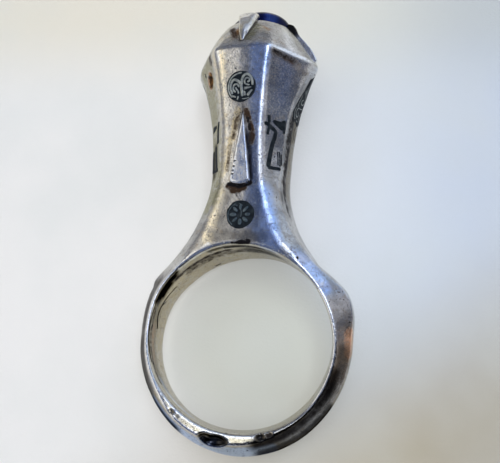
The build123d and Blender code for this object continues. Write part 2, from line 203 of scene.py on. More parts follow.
# The rooms that the surfaces are looked for in, from corner to corner
BODY_ROOM = ((-12.6, -7.2, -12.6), (12.9, 7.2, RIM_HEIGHT + 0.5))
SPIKE_ROOMS = {"front": ((-2, -6, 15.2), (2, -3, 24.8)), "back": ((-2, 3, 15.2), (2, 6, 24.8))}

# How far the flats that the ring rests on stay over the floor, in millimetres
FLOOR_GAP = 0.004

# Marks on the silver, many of them painted light and shade. Each runs between two points of the
# standing ring, in millimetres. The soot tone is black dirt and also painted shadow; brown, ochre and
# rust are old deposits, brown in places also painted shade and a painted reflection; the smoke tone is
# an even dark tarnish and also painted shade, shadow and dark reflection; cream is a painted highlight,
# copper a painted warm reflection, olive a painted greenish reflection and shade, and blue a painted
# bluish reflection; the bare tone is silver rubbed bright and also painted highlight.
MARKS = table("tone from to width full", [
    # Painted highlights along the front face's left edge, and a painted warm light low on its left
    ("cream", (-2.6, -4.5, 17.5), (-3.0, -6.3, 30.6), 1.3, 0.9),
    ("bare", (-2.35, -4.6, 18.0), (-2.9, -6.3, 30.8), 0.45, 0.8),
    ("cream", (-3.4, -4.1, 9.8), (-2.4, -4.1, 15.0), 1.0, 0.6),
    # Painted bluish reflections on the front face's right, the right shoulder and the right chamfer, and a
    # painted shade low on the front face's right
    ("blue", (2.2, -4.3, 11.0), (2.9, -6.3, 30.6), 0.9, 0.8),
    ("blue", (3.6, -4.2, 9.0), (2.6, -4.2, 15.0), 1.8, 0.8),
    ("blue", (4.6, -3.6, 26.0), (4.8, -4.0, 30.0), 2.0, 0.4),
    ("smoke", (1.5, -4.2, 11.0), (1.4, -4.6, 21.0), 0.9, 0.32),
    # Painted highlights on the roof, at the top of the front face and on the left shoulder, a painted bluish
    # reflection on the front face, and darker low on its left
    ("bare", (4.7, -3.4, 32.0), (3.6, -2.8, 34.4), 1.2, 0.6),
    ("cream", (-2.2, -5.6, 32.4), (1.6, -5.3, 33.6), 1.3, 0.5),
    ("bare", (-0.6, -6.4, 30.5), (0.2, -6.1, 29.2), 1.1, 0.4),
    ("blue", (1.3, -4.4, 12.0), (1.8, -6.2, 30.6), 1.3, 0.7),
    ("smoke", (-2.3, -4.1, 11.6), (-1.6, -4.2, 14.6), 0.7, 0.35),
    ("bare", (-5.0, -3.6, 8.0), (-3.2, -3.9, 9.4), 0.45, 1.0),
    ("ochre", (-0.45, -4.9, 24.2), (-1.05, -4.5, 21.2), 0.55, 0.9),
    ("ochre", (-1.25, -4.4, 20.9), (-1.70, -4.2, 17.6), 0.45, 0.7),
    ("brown", (-0.45, -4.8, 23.7), (-0.95, -4.5, 21.3), 0.40, 0.66),
    ("brown", (-1.25, -4.3, 20.4), (-1.55, -4.2, 17.6), 0.34, 0.58),
    # To the right of the spike: brown deposit with painted shade, and a painted shadow along its right edge
    ("brown", (0.50, -4.9, 24.2), (1.15, -4.6, 21.9), 0.42, 1.25),
    ("brown", (1.25, -4.5, 22.0), (1.15, -4.5, 20.6), 0.40, 1.3),
    ("soot", (0.70, -4.8, 23.3), (0.98, -4.7, 22.0), 0.24, 1.1),
    ("smoke", (0.85, -4.5, 21.6), (1.25, -4.2, 16.6), 0.34, 0.9),
    # The next two rows are a painted shadow under the spike's lower end
    ("soot", (-1.20, -4.1, 16.05), (-0.10, -4.1, 15.84), 0.28, 1.4),
    ("soot", (-0.10, -4.1, 15.84), (1.15, -4.1, 16.10), 0.36, 1.4),
    ("brown", (-1.25, -4.1, 15.85), (0.50, -4.1, 15.62), 0.42, 1.7),
    ("brown", (-0.75, -4.1, 15.40), (-0.10, -4.1, 15.40), 0.45, 1.7),
    ("soot", (-0.24, -4.1, 15.05), (-0.20, -4.1, 14.70), 0.12, 0.9),
    # A painted shade across the bottom of the front face, and a painted shadow along the top of the bore
    # under it
    ("smoke", (-2.4, -4.0, 10.4), (2.6, -3.9, 10.2), 1.0, 0.5),
    ("soot", (-0.6, -3.9, 9.60), (1.2, -3.9, 9.55), 0.22, 1.0),
    ("soot", (0.10, -3.9, 9.62), (1.25, -3.9, 9.78), 0.36, 1.1),
    ("soot", (6.33, -3.07, 8.22), (6.36, -3.0, 8.1), 0.15, 1.0),
    ("smoke", (3.4, -5.6, 30.5), (5.0, -3.4, 30.4), 0.50, 0.5),
    ("brown", (3.5, -5.8, 30.5), (5.6, -2.8, 30.4), 0.55, 0.7),
    ("soot", (3.6, -5.7, 30.6), (4.5, -4.4, 30.5), 0.24, 0.6),
    ("rust", (4.6, -4.2, 30.2), (5.2, -3.3, 30.1), 0.35, 0.5),
    # Painted highlights along the girdle's right edge and the edge between the front face and the right
    # chamfer
    ("bare", (3.1, -6.3, 31.10), (7.4, -0.5, 31.30), 0.26, 1.0),
    ("bare", (3.1, -6.3, 31.1), (2.4, -4.6, 20.0), 0.20, 1.0),
    ("bare", (2.4, -4.6, 20.0), (2.9, -4.1, 13.5), 0.20, 1.0),
    # Painted shade over the right side face, along its front edge and low on the front face's right, with
    # brown deposits
    ("ochre", (4.25, 0.0, 16.0), (4.6, 0.0, 24.0), 2.0, 0.6),
    ("smoke", (4.25, 0.0, 15.0), (4.6, 0.0, 24.0), 1.8, 0.35),
    ("soot", (4.3, -1.0, 13.0), (4.5, -0.9, 24.5), 1.3, 0.56),
    ("brown", (4.3, -0.9, 16.0), (4.7, -0.9, 24.5), 1.0, 0.85),
    ("brown", (5.0, -3.0, 30.0), (6.4, -1.6, 29.6), 0.5, 0.55),
    ("smoke", (4.2, -2.2, 14.5), (4.35, -1.85, 20.5), 0.32, 0.55),
    ("smoke", (4.35, -1.85, 20.5), (4.8, -1.75, 24.5), 0.32, 0.55),
    ("smoke", (4.8, -1.75, 24.5), (6.1, -1.2, 28.6), 0.34, 0.55),
    ("smoke", (1.9, -4.2, 11.4), (2.1, -4.1, 15.2), 0.7, 0.45),
    ("smoke", (4.6, 0.0, 23.0), (6.2, 0.3, 29.0), 1.4, 0.5),
    ("rust", (-4.50, -3.6, 28.4), (-4.50, -3.6, 29.1), 0.80, 1.2),
    ("brown", (-4.2, -4.7, 31.2), (-4.1, -4.9, 30.4), 0.50, 0.8),
    ("soot", (-5.62, -2.62, 30.17), (-5.5, -2.7, 29.8), 0.26, 0.8),
    # A painted greenish reflection over the left front chamfer
    ("olive", (-4.0, -3.2, 15.0), (-5.2, -3.2, 30.5), 2.6, 1.0),
    ("smoke", (-3.6, -2.8, 17.6), (-3.5, -2.8, 20.8), 0.7, 0.6),
    ("rust", (-0.92, -5.5, 33.9), (-0.80, -5.7, 33.1), 0.40, 1.0),
    ("brown", (-1.7, -4.9, 34.2), (-0.9, -6.0, 32.5), 0.55, 0.8),
    ("rust", (2.0, -5.0, 34.4), (2.6, -5.0, 33.8), 0.45, 0.5),
    # A painted greenish shade on the roof to the right of the front claw
    ("olive", (0.7, -5.9, 32.4), (1.2, -5.2, 34.6), 0.8, 0.9),
    ("brown", (-2.4, -4.2, 18.4), (-2.3, -4.2, 17.2), 0.22, 0.6),
    ("soot", (-2.3, -6.2, 29.6), (-2.2, -6.2, 29.2), 0.14, 0.6),
])

# The same round the hoop: angles in degrees, and a distance from the bore's axis and along it
HOOP_MARKS = table("tone from to radius across width full", [
    # Painted dark reflection on the lower right of the hoop's front slope, with a painted brown and copper
    # reflection at its right end
    ("smoke", -18, -80, 10.5, -2.8, 1.15, 1.0),
    ("smoke", -24, -36, 11.4, -1.9, 0.9, 0.4),
    ("smoke", -36, -78, 11.4, -1.9, 1.0, 0.95),
    ("smoke", -6, -18, 10.7, -2.4, 1.2, 0.75),
    ("brown", -4, -20, 10.9, -2.4, 1.0, 0.45),
    ("copper", 4, -6, 11.25, -2.0, 0.75, 1.2),
    ("smoke", 28, 10, 10.6, -2.8, 0.8, 0.12),
    # Painted highlights along the bore's front edge on the right and on the left
    ("bare", 20, -60, 9.62, -3.05, 0.24, 1.0),
    ("cream", 136, 212, 9.78, -3.25, 0.36, 1.4),
    # A painted shadow at the top of the bore, under the tower
    ("smoke", 110, 68, 9.5, -3.0, 0.50, 0.7),
    ("smoke", 84, 70, 9.5, -1.0, 1.60, 0.75),
    ("smoke", 137, 160, 9.5, -2.95, 0.50, 1.0),
    ("smoke", 141, 157, 9.5, -2.45, 0.95, 1.0),
    ("smoke", 146, 154, 9.5, -1.80, 0.70, 1.0),
    ("smoke", 158, 198, 9.5, -2.85, 0.24, 1.0),
    # A painted highlight on the bore's upper left wall, and a painted shade lower on its left wall
    ("cream", 112, 150, 9.5, -0.8, 1.2, 0.9),
    ("smoke", 165, 215, 9.5, -1.2, 1.3, 0.32),
    ("smoke", 148, 235, 10.4, -2.45, 0.75, 0.6),
    # A painted copper reflection on the bore's left wall
    ("copper", 176, 196, 9.5, -1.4, 0.9, 0.5),
    ("brown", 84, 132, 9.5, -0.6, 1.0, 0.55),
    # A painted highlight low on the bore's left wall
    ("bare", 214, 232, 9.5, -1.7, 0.5, 1.0),
    ("brown", 100, 140, 9.5, -1.6, 0.60, 0.75),
    ("brown", 160, 212, 9.5, -2.2, 0.60, 0.55),
    ("soot", 198, 212, 9.5, -2.3, 0.22, 0.8),
    # Painted shade on the hoop's left outside, down towards the floor
    ("smoke", 185, 235, 11.3, -2.0, 1.1, 0.85),
    ("smoke", 150, 185, 11.2, -2.0, 0.9, 0.55),
    # A painted highlight along the bore's lower front edge
    ("cream", -60, -100, 9.9, -3.2, 0.5, 0.5),
    ("ochre", -50, -142, 10.0, -3.2, 0.9, 1.0),
    # A painted shadow at the top of the bore
    ("soot", 100, 74, 9.5, -2.6, 0.40, 0.8),
    ("brown", -100, -140, 9.9, -3.3, 0.35, 0.4),
    ("soot", 119, 115, 9.5, 2.6, 0.18, 1.0),
    # Painted bluish reflections on the bore's lower left wall and under the hoop, and a painted highlight
    # and bluish reflection on the right shoulder
    ("blue", -122, -148, 9.5, -1.2, 1.0, 0.8),
    ("blue", -75, -140, 11.6, -2.2, 1.2, 1.6),
    ("bare", 62, 34, 10.3, -2.7, 0.9, 0.4),
    ("blue", 70, 30, 10.3, -2.7, 1.0, 0.7),
])
TONES = ("soot", "brown", "ochre", "rust", "smoke", "cream", "copper", "olive", "blue", "bare")

# Scrolls of the round inlays: bars of silver on the dark ground, each along a few points in
# roundel radii, with its width at its start and end in roundel radii.
UPPER_SCROLLS = table("start end along", [
    (0.10, 0.10, [(0.08, 0.88), (-0.38, 0.82), (-0.74, 0.52), (-0.90, 0.04), (-0.82, -0.40),
     (-0.60, -0.68)]),
    (0.20, 0.15, [(0.10, -0.66), (0.06, -0.20), (-0.02, 0.22), (-0.26, 0.42), (-0.52, 0.50),
     (-0.72, 0.18), (-0.72, -0.16), (-0.58, -0.46)]),
    (0.12, 0.13, [(-0.12, -0.06), (-0.20, 0.16), (-0.42, 0.18), (-0.56, -0.02), (-0.50, -0.28),
     (-0.34, -0.34)]),
    (0.10, 0.12, [(-0.36, 0.00), (-0.34, -0.14), (-0.20, -0.26), (-0.16, -0.48)]),
    (0.20, 0.15, [(0.02, 0.00), (0.06, 0.36), (0.20, 0.70), (0.46, 0.80), (0.70, 0.58), (0.82, 0.26),
     (0.78, 0.02)]),
    (0.11, 0.13, [(0.60, 0.06), (0.34, 0.08), (0.22, 0.30), (0.36, 0.54), (0.60, 0.48), (0.60, 0.26),
     (0.42, 0.28)]),
    (0.22, 0.05, [(0.20, -0.14), (0.44, -0.12), (0.72, -0.08)]),
    (0.11, 0.08, [(0.22, -0.30), (0.30, -0.48), (0.26, -0.62)]),
    (0.20, 0.12, [(0.44, -0.62), (0.56, -0.42), (0.78, -0.26)]),
    (0.10, 0.12, [(-0.68, -0.56), (-0.50, -0.58), (-0.34, -0.68)]),
    (0.12, 0.08, [(-0.18, -0.60), (-0.20, -0.74), (-0.28, -0.86)]),
    (0.08, 0.07, [(0.06, -0.80), (0.32, -0.84), (0.56, -0.74)]),
])
LOWER_SCROLLS = table("start end along", [
    (0.05, 0.07, [(-0.30, 0.84), (-0.74, 0.54), (-0.92, 0.00), (-0.82, -0.44), (-0.52, -0.74)]),
    (0.07, 0.07, [(-0.52, 0.66), (-0.34, 0.72), (-0.22, 0.60)]),
    (0.06, 0.06, [(-0.12, 0.78), (0.06, 0.72), (0.16, 0.60)]),
    (0.07, 0.05, [(0.02, 0.40), (0.12, 0.12), (0.04, -0.20)]),
])
PETALS = 8
PETAL_REACH = 0.52
PETAL_LENGTH = 0.50
PETAL_WIDTH = 0.25

# The stem on a chamfer face: dark bars, each along points given as a distance from the face's
# front or back edge and a height, in millimetres, with its width at its start and end.
STEM = table("start end along", [
    (0.50, 0.36, [(0.92, 23.80), (0.93, 23.35), (0.98, 22.95)]),
    (0.42, 0.58, [(0.35, 22.72), (0.75, 22.88), (1.18, 22.53), (1.95, 22.28), (1.80, 21.56),
     (1.43, 20.54), (1.14, 19.26), (0.92, 18.01)]),
    (0.42, 0.36, [(0.86, 18.02), (1.69, 18.02), (2.60, 18.19)]),
    (0.30, 0.40, [(1.00, 22.50), (0.80, 22.05), (0.86, 21.60)]),
    (0.34, 1.05, [(1.50, 23.30), (2.10, 23.15), (2.90, 23.00)]),
    (0.60, 0.34, [(2.98, 23.75), (3.05, 23.00), (3.02, 22.25)]),
    (0.16, 0.20, [(2.16, 20.05), (2.28, 19.28), (2.22, 18.50)]),
    (0.18, 0.22, [(2.42, 20.10), (2.55, 19.28), (2.50, 18.40)]),
    (0.16, 0.20, [(2.66, 19.90), (2.80, 19.28), (2.74, 18.60)]),
    (0.20, 0.20, [(1.70, 19.38), (1.77, 19.35), (1.86, 19.33)]),
])

# The heavier marks that show of the left chamfers' stems
LEFT_STEM = table("start end along", [
    (0.40, 0.62, [(1.10, 23.55), (1.38, 23.10), (1.46, 22.20), (1.38, 21.10)]),
    (0.40, 0.80, [(1.95, 23.30), (2.60, 23.10), (3.10, 23.20)]),
    (0.55, 0.60, [(1.95, 20.95), (1.80, 19.80), (1.35, 18.00)]),
    (0.62, 0.70, [(2.75, 20.60), (2.70, 19.60), (2.35, 18.00)]),
    (0.42, 0.36, [(0.95, 18.02), (1.70, 17.98), (2.60, 18.19)]),
])

# The panel on a narrow side face: its outline and the scrolls on it, as distances towards the
# back and heights in millimetres, and the loose strokes under it.
BAND_OUTLINE = [
    (0.33, 30.2), (0.72, 29.5), (1.24, 28.1), (1.36, 26.6), (1.60, 24.9), (0.95, 24.35),
    (0.00, 24.6), (-0.90, 24.35), (-1.60, 25.1), (-1.22, 26.2), (-0.52, 28.1), (-0.38, 29.5),
]
BAND_SCROLLS = table("start end along", [
    (0.08, 0.11, [(0.24, 29.7), (0.46, 29.2), (0.10, 28.7), (0.40, 28.2)]),
    (0.10, 0.11, [(-0.20, 28.3), (0.50, 28.0), (1.00, 27.5), (0.80, 26.9), (0.20, 26.8), (0.00, 27.2),
     (0.40, 27.4)]),
    (0.08, 0.11, [(-0.50, 27.7), (-0.40, 27.1), (-0.70, 26.6), (-0.50, 26.1)]),
    (0.10, 0.11, [(1.10, 26.6), (0.60, 26.3), (-0.10, 26.3), (-0.60, 25.8), (-0.40, 25.2), (0.20, 25.2),
     (0.40, 25.6), (0.10, 25.8)]),
    (0.08, 0.11, [(1.20, 26.1), (0.80, 25.7), (1.00, 25.2), (1.30, 25.0)]),
    (0.09, 0.10, [(-1.00, 25.9), (-1.20, 25.4), (-0.80, 24.9), (-0.40, 24.8)]),
    (0.09, 0.08, [(0.70, 24.9), (0.40, 24.75), (0.10, 24.85)]),
])
LOOSE_STROKES = table("start end along", [
    (0.16, 0.10, [(-1.35, 24.6), (-1.10, 23.9), (-1.20, 23.2)]),
    (0.14, 0.10, [(0.60, 24.2), (0.30, 23.6), (0.70, 22.9), (0.50, 22.3)]),
    (0.15, 0.12, [(-0.60, 24.1), (-0.30, 23.5), (-0.70, 22.8)]),
    (0.12, 0.08, [(-0.20, 22.6), (0.10, 22.1), (-0.20, 21.5), (0.00, 20.9)]),
    (0.12, 0.08, [(1.20, 24.0), (1.00, 23.3), (1.20, 22.5)]),
    (0.12, 0.08, [(-1.00, 21.9), (-0.80, 21.3), (-1.00, 20.6)]),
])

# Cracks in the bore's wall: angles round the bore in degrees and distances along its axis
CRACKS = table("start end along", [
    (0.34, 0.20, [(176.0, 0.00), (170.5, -0.75), (165.2, -1.05), (159.0, -0.75), (152.0, -0.30),
     (145.0, 0.10)]),
    (0.22, 0.12, [(160.5, -0.80), (158.5, -0.20), (157.0, 0.05)]),
    (0.16, 0.10, [(119.0, 2.55), (116.5, 2.65), (114.0, 2.60)]),
])


def lay_down(points):
    """Points of the standing ring, in millimetres, put where it lies in the frame, in metres."""
    up = REST_UP.normalized()
    tower = (Vector((0, 0, 1)) - up * up.z).normalized()
    turn = np.array([tower.cross(up), tower, up])
    return np.asarray(points) @ turn.T * MM + np.array(BORE_PLACE)


def smooth_max(a, b, width):
    """The larger of two fields, with the edge between them rounded over a width."""
    near = np.maximum(width - np.abs(a - b), 0) / width
    return np.maximum(a, b) + near * near * width / 4


def smooth_min(a, b, width):
    return -smooth_max(-a, -b, width)


def smooth_step(value, low, high):
    """0 below low, 1 above high and a soft rise between."""
    t = np.clip((value - low) / (high - low), 0, 1)
    return t * t * (3 - 2 * t)


def smooth_line(places, values):
    """A smooth curve through a table's values, straight beyond its ends."""
    places, values = np.array(places, float), np.array(values, float)
    slopes = np.gradient(values, places)

    def at(x):
        inside = np.clip(x, places[0], places[-1])
        i = np.clip(np.searchsorted(places, inside) - 1, 0, len(places) - 2)
        step = places[i + 1] - places[i]
        t = (inside - places[i]) / step
        low, high = values[i], values[i + 1]
        value = (2 * t ** 3 - 3 * t ** 2 + 1) * low + (3 * t ** 2 - 2 * t ** 3) * high
        value = value + step * (t * (1 - t) ** 2 * slopes[i] - t ** 2 * (1 - t) * slopes[i + 1])
        return value + (x - inside) * np.where(x < inside, slopes[0], slopes[-1])

    return at


def tower_lines():
    """Edge, depth, width and side of the tower as smooth curves over its height."""
    low = (BORE_RADIUS, BORE_RADIUS, HOOP_LENGTH / 2, OUTER_RADIUS, HOOP_LENGTH / 2)
    high = (TOWER_HEIGHT, FRONT_EDGE / 2, GIRDLE_DEPTH / 2, GIRDLE_WIDTH / 2, SIDE_FACE / 2)
    rows = [[share * size for share, size in zip(row.values(), low)] for row in SHOULDERS]
    for row in TOWER:
        height, *sizes = [share * size for share, size in zip(row.values(), high)]
        rows.append([BORE_RADIUS + height, *sizes])
    heights, *columns = zip(*rows)
    return [smooth_line(heights, column) for column in columns]


TOWER_LINES = tower_lines()
HOOP_LINES = {
    key: smooth_line([row["angle"] for row in HOOP], [row[key] for row in HOOP])
    for key in ("wall", "front", "back", "band", "bevel", "wear")
}


def lattice_noise(x, y, z, length, seed):
    """Smooth noise between -1 and 1 whose bumps are about a length apart."""
    count = 32
    table = np.random.default_rng(seed).uniform(-1, 1, (count, count, count))
    corners, parts = [], []
    for value in (x, y, z):
        scaled = np.asarray(value) / length + count / 2
        low = np.floor(scaled).astype(int)
        t = scaled - low
        corners.append((low % count, (low + 1) % count))
        parts.append((1 - t * t * (3 - 2 * t), t * t * (3 - 2 * t)))
    total = 0
    for i in (0, 1):
        for j in (0, 1):
            for k in (0, 1):
                share = parts[0][i] * parts[1][j] * parts[2][k]
                total = total + share * table[corners[0][i], corners[1][j], corners[2][k]]
    return total


def twist_of(z):
    """How far the hoop is turned about the tower's axis at a height, in radians."""
    return np.radians(HOOP_TWIST) * np.maximum(0, BORE_RADIUS - z) / (2 * BORE_RADIUS)


def twisted(x, y, z, way=1):
    """x and y turned with the hoop's twist, or back out of it if the way is -1."""
    c, s = np.cos(twist_of(z)), way * np.sin(twist_of(z))
    return x * c - y * s, x * s + y * c


def section_field(x, y, edge, depth, width, side, flank):
    """Distance outside an eight-sided section with rounded edges, softest beside its side faces."""
    across, deep = np.abs(x), np.abs(y)
    full = FACE_BULGE * (1 - np.minimum(across / edge, 1) ** 2)
    front = deep - depth - full + FACE_BULGE / 2
    nx, ny = depth - side, width - edge
    chamfer = ((across - edge) * nx + (deep - depth) * ny) / np.hypot(nx, ny)
    rounding = np.where(x < 0, LEFT_EDGE, RIGHT_EDGE)
    return smooth_max(smooth_max(front, chamfer, rounding), across - width, flank)


def tower_field(x, y, z):
    """The tower up to its girdle and the roof over it, down to the shoulders."""
    corner = smooth_step(z, GIRDLE_HEIGHT - CORNER_REACH, GIRDLE_HEIGHT)
    flank = FLANK_EDGE + (CORNER_EDGE - FLANK_EDGE) * corner
    sides = section_field(x, y, *[line(z) for line in TOWER_LINES], flank)
    girdle = section_field(
        x, y, *[float(line(np.array(GIRDLE_HEIGHT))) for line in TOWER_LINES], CORNER_EDGE)
    t = (z - GIRDLE_HEIGHT) / ROOF_HEIGHT
    radius = np.hypot(x, y)
    roof = (1 - t) * girdle + t * (radius - RIM_RADIUS) - ROOF_BULGE * 4 * t * (1 - t) * (t > 0)
    body = smooth_max(sides, roof, GIRDLE_EDGE)
    body = smooth_max(body, z - RIM_HEIGHT, BEVEL_EDGE)
    foot = SHOULDERS[0]["height"] * BORE_RADIUS
    return smooth_max(body, foot - z, SHOULDER_FILLET)


def hoop_field(x, y, z):
    """The hoop all the way round, with its bevels and its sloped sides, and its bore's radius."""
    radius = np.hypot(x, z)
    angle = np.degrees(np.arctan2(z, x))
    angle = np.where(angle > 90, angle - 360, angle)
    line = {key: curve(angle) for key, curve in HOOP_LINES.items()}
    half = HOOP_LENGTH / 2
    outer = BORE_RADIUS + line["wall"] * HOOP_WALL
    bevel = BORE_RADIUS + line["bevel"] * HOOP_WALL
    band = line["band"] * half
    body = radius - outer
    for way, end in ((-y, line["front"] * half), (y, line["back"] * half)):
        rise, run = outer - bevel, end - band
        slope = ((radius - bevel) * run + (way - end) * rise) / np.hypot(rise, run)
        body = smooth_max(body, slope, HOOP_EDGE)
        body = smooth_max(body, way - end, BEVEL_EDGE)
    return body, BORE_RADIUS + line["wear"]


def ring_field(x, y, z):
    """The whole body of the ring: positive outside, negative in the metal."""
    u, v = twisted(x, y, z, -1)
    hoop, bore = hoop_field(u, v, z)
    body = smooth_min(tower_field(u, v, z), hoop, SHOULDER_FILLET)
    body = smooth_max(body, bore - np.hypot(u, z), BORE_EDGE)
    cup = np.maximum(np.hypot(x, y) - STONE_RADIUS - STONE_GAP, RIM_HEIGHT - CUP_DEPTH - z)
    body = smooth_max(body, -cup, CUP_EDGE)
    for pit in PITS:
        (px, py, pz), (hx, hy, hz) = pit["at"], pit["half"]
        ball = np.sqrt(((x - px) / hx) ** 2 + ((y - py) / hy) ** 2 + ((z - pz) / hz) ** 2)
        body = smooth_max(body, (1 - ball) * min(pit["half"]), PIT_EDGE)
    for height, length, seed in BODY_WAVES:
        body = body + height * lattice_noise(x, y, z, length, seed)
    up = REST_UP.normalized()
    under_floor = FLOOR_GAP - BORE_PLACE.z / MM - (x * up.x + y * up.y + z * up.z)
    return smooth_max(body, under_floor, TOUCH_EDGE)


def stone_field(x, y, z):
    """The full domed stone, with the slight waves of a stone shaped by hand."""
    up = np.maximum(z - RIM_HEIGHT, 0)
    power = DOME_POWER + DOME_FULLER * np.clip(x / STONE_RADIUS, -0.8, 1)
    share = (np.hypot(x, y) / STONE_RADIUS) ** power + (up / STONE_DOME) ** power
    dome = (np.maximum(share, 1e-6) ** (1 / power) - 1) * STONE_DOME
    wall = np.maximum(np.hypot(x, y) - STONE_RADIUS, RIM_HEIGHT - CUP_DEPTH + STONE_GAP - z)
    return smooth_max(dome, wall, STONE_EDGE) + STONE_WAVE * (1 + lattice_noise(x, y, z, 2.1, 8))


def outline_field(corners, a, b):
    """Distance outside a closed outline in a plane, negative within it."""
    nearest, inside = np.inf, False
    for (a0, b0), (a1, b1) in zip(corners, corners[1:] + corners[:1]):
        da, db = a1 - a0, b1 - b0
        share = np.clip(((a - a0) * da + (b - b0) * db) / (da * da + db * db), 0, 1)
        nearest = np.minimum(nearest, np.hypot(a - a0 - share * da, b - b0 - share * db))
        if db:
            crossed = ((b0 > b) != (b1 > b)) & (a < a0 + (b - b0) * da / db)
            inside = inside ^ crossed
    return np.where(inside, -nearest, nearest)


def claw_field(turn, rise, thick, soft):
    """The field of a claw that runs from near the girdle up the roof and over the stone's edge."""
    reach = (GIRDLE_DEPTH if turn % 180 == 0 else GIRDLE_WIDTH) / 2
    tip_share, mid_share, corner = 0.22, 0.5, 0.62

    def over_roof(share, thickness):
        bulge = ROOF_BULGE * (1 - abs(2 * share - 1))
        return reach + (RIM_RADIUS - reach) * share + bulge + thickness, GIRDLE_HEIGHT + share * ROOF_HEIGHT

    crest = RIM_HEIGHT + rise
    outline = [
        over_roof(tip_share / 2, -SEAT_DEPTH),
        over_roof(tip_share, 0.05),
        over_roof(mid_share, 0.6 * thick),
        over_roof(0.95, thick),
        (RIM_RADIUS + 0.45 * thick, RIM_HEIGHT + 0.6 * rise),
        (STONE_RADIUS, crest),
        (STONE_RADIUS - CLAW_GRIP, crest - 0.12 * rise),
        (STONE_RADIUS - CLAW_GRIP, RIM_HEIGHT),
        (RIM_RADIUS - CUP_WALL / 2, RIM_HEIGHT - SEAT_DEPTH),
    ]
    foot = GIRDLE_HEIGHT + tip_share * ROOF_HEIGHT - CLAW_GRIP / 2
    lean = (CLAW_WIDTH / 2 - BLUNT / 2) / (RIM_HEIGHT - foot)
    c, s = np.cos(np.radians(turn)), np.sin(np.radians(turn))

    def field(x, y, z):
        across, out = x * c + y * s, x * s - y * c
        side = outline_field(outline, out, z)
        edges = (np.abs(across) - BLUNT - (z - foot) * lean) / np.hypot(1, lean)
        full = CLAW_BULGE * (1 - np.clip(across / (CLAW_WIDTH / 2), -1, 1) ** 2)
        rounding = PIECE_EDGE + (soft - PIECE_EDGE) * smooth_step(across, 0, 0.3)
        piece = smooth_max(side - full, edges, rounding)
        off_corner = (z - crest - across) * np.sqrt(0.5) - corner
        piece = smooth_max(piece, off_corner, 0.3)
        piece = smooth_max(piece, STONE_GAP - stone_field(x, y, z), TOUCH_EDGE)
        return piece + PIECE_WAVE * lattice_noise(x, y, z, 0.7, 12 + turn)

    return field


def spike_field(turn):
    """The field of the long pointed piece on the front or back face, thick at its lower end."""
    tip_thickness, bow, end_edge = 0.16, 0.35, 0.35
    high_out = float(TOWER_LINES[1](np.array(SPIKE_TOP))) + tip_thickness
    low_out = float(TOWER_LINES[1](np.array(SPIKE_BASE))) + SPIKE_THICKNESS
    c, s = np.cos(np.radians(turn)), np.sin(np.radians(turn))

    def field(x, y, z):
        across, out = x * c + y * s - SPIKE_SHIFT, x * s - y * c
        share = (SPIKE_TOP - z) / SPIKE_LENGTH
        top = out - (high_out + (low_out - high_out) * share)
        edges = (np.abs(across) - (SPIKE_TOP - z) * SPIKE_LEAN) / np.hypot(1, SPIKE_LEAN)
        end = SPIKE_BASE - bow + bow * (2 * across / SPIKE_WIDTH) ** 2 - z
        piece = smooth_max(smooth_max(top, edges, SPIKE_EDGE), end, end_edge)
        piece = np.maximum(piece, high_out - SEAT_DEPTH - SPIKE_THICKNESS - out)
        for up in SPIKE_NOTCHES:
            edge = -(SPIKE_LENGTH - up) * SPIKE_LEAN
            ball = np.sqrt(((across - edge) / NOTCH_ACROSS) ** 2
                           + ((z - SPIKE_BASE - up) / NOTCH_TALL) ** 2)
            deep = np.sqrt(ball ** 2 + (top / NOTCH_INTO) ** 2)
            piece = smooth_max(piece, (1 - deep) * NOTCH_CUT, NOTCH_CUT)
        return piece + PIECE_WAVE * lattice_noise(x, y, z, 0.8, 31 + turn)

    return field


def slope_of(field, points, step=0.02):
    """The field's rate of change at some points."""
    out = np.empty_like(points)
    for axis in range(3):
        ahead, behind = points.copy(), points.copy()
        ahead[:, axis] += step
        behind[:, axis] -= step
        out[:, axis] = (field(*ahead.T) - field(*behind.T)) / (2 * step)
    return out


def settle(field, points, steps=3, reach=0.5):
    """Points moved onto the surface where a field is zero."""
    start, now = points, points
    for _ in range(steps):
        slope = slope_of(field, now)
        size = np.maximum((slope ** 2).sum(1), 0.05)
        now = now - slope * (field(*now.T) / size)[:, None]
        move = now - start
        length = np.linalg.norm(move, axis=1, keepdims=True)
        now = start + move * np.minimum(1, reach / np.maximum(length, 1e-9))
    return now


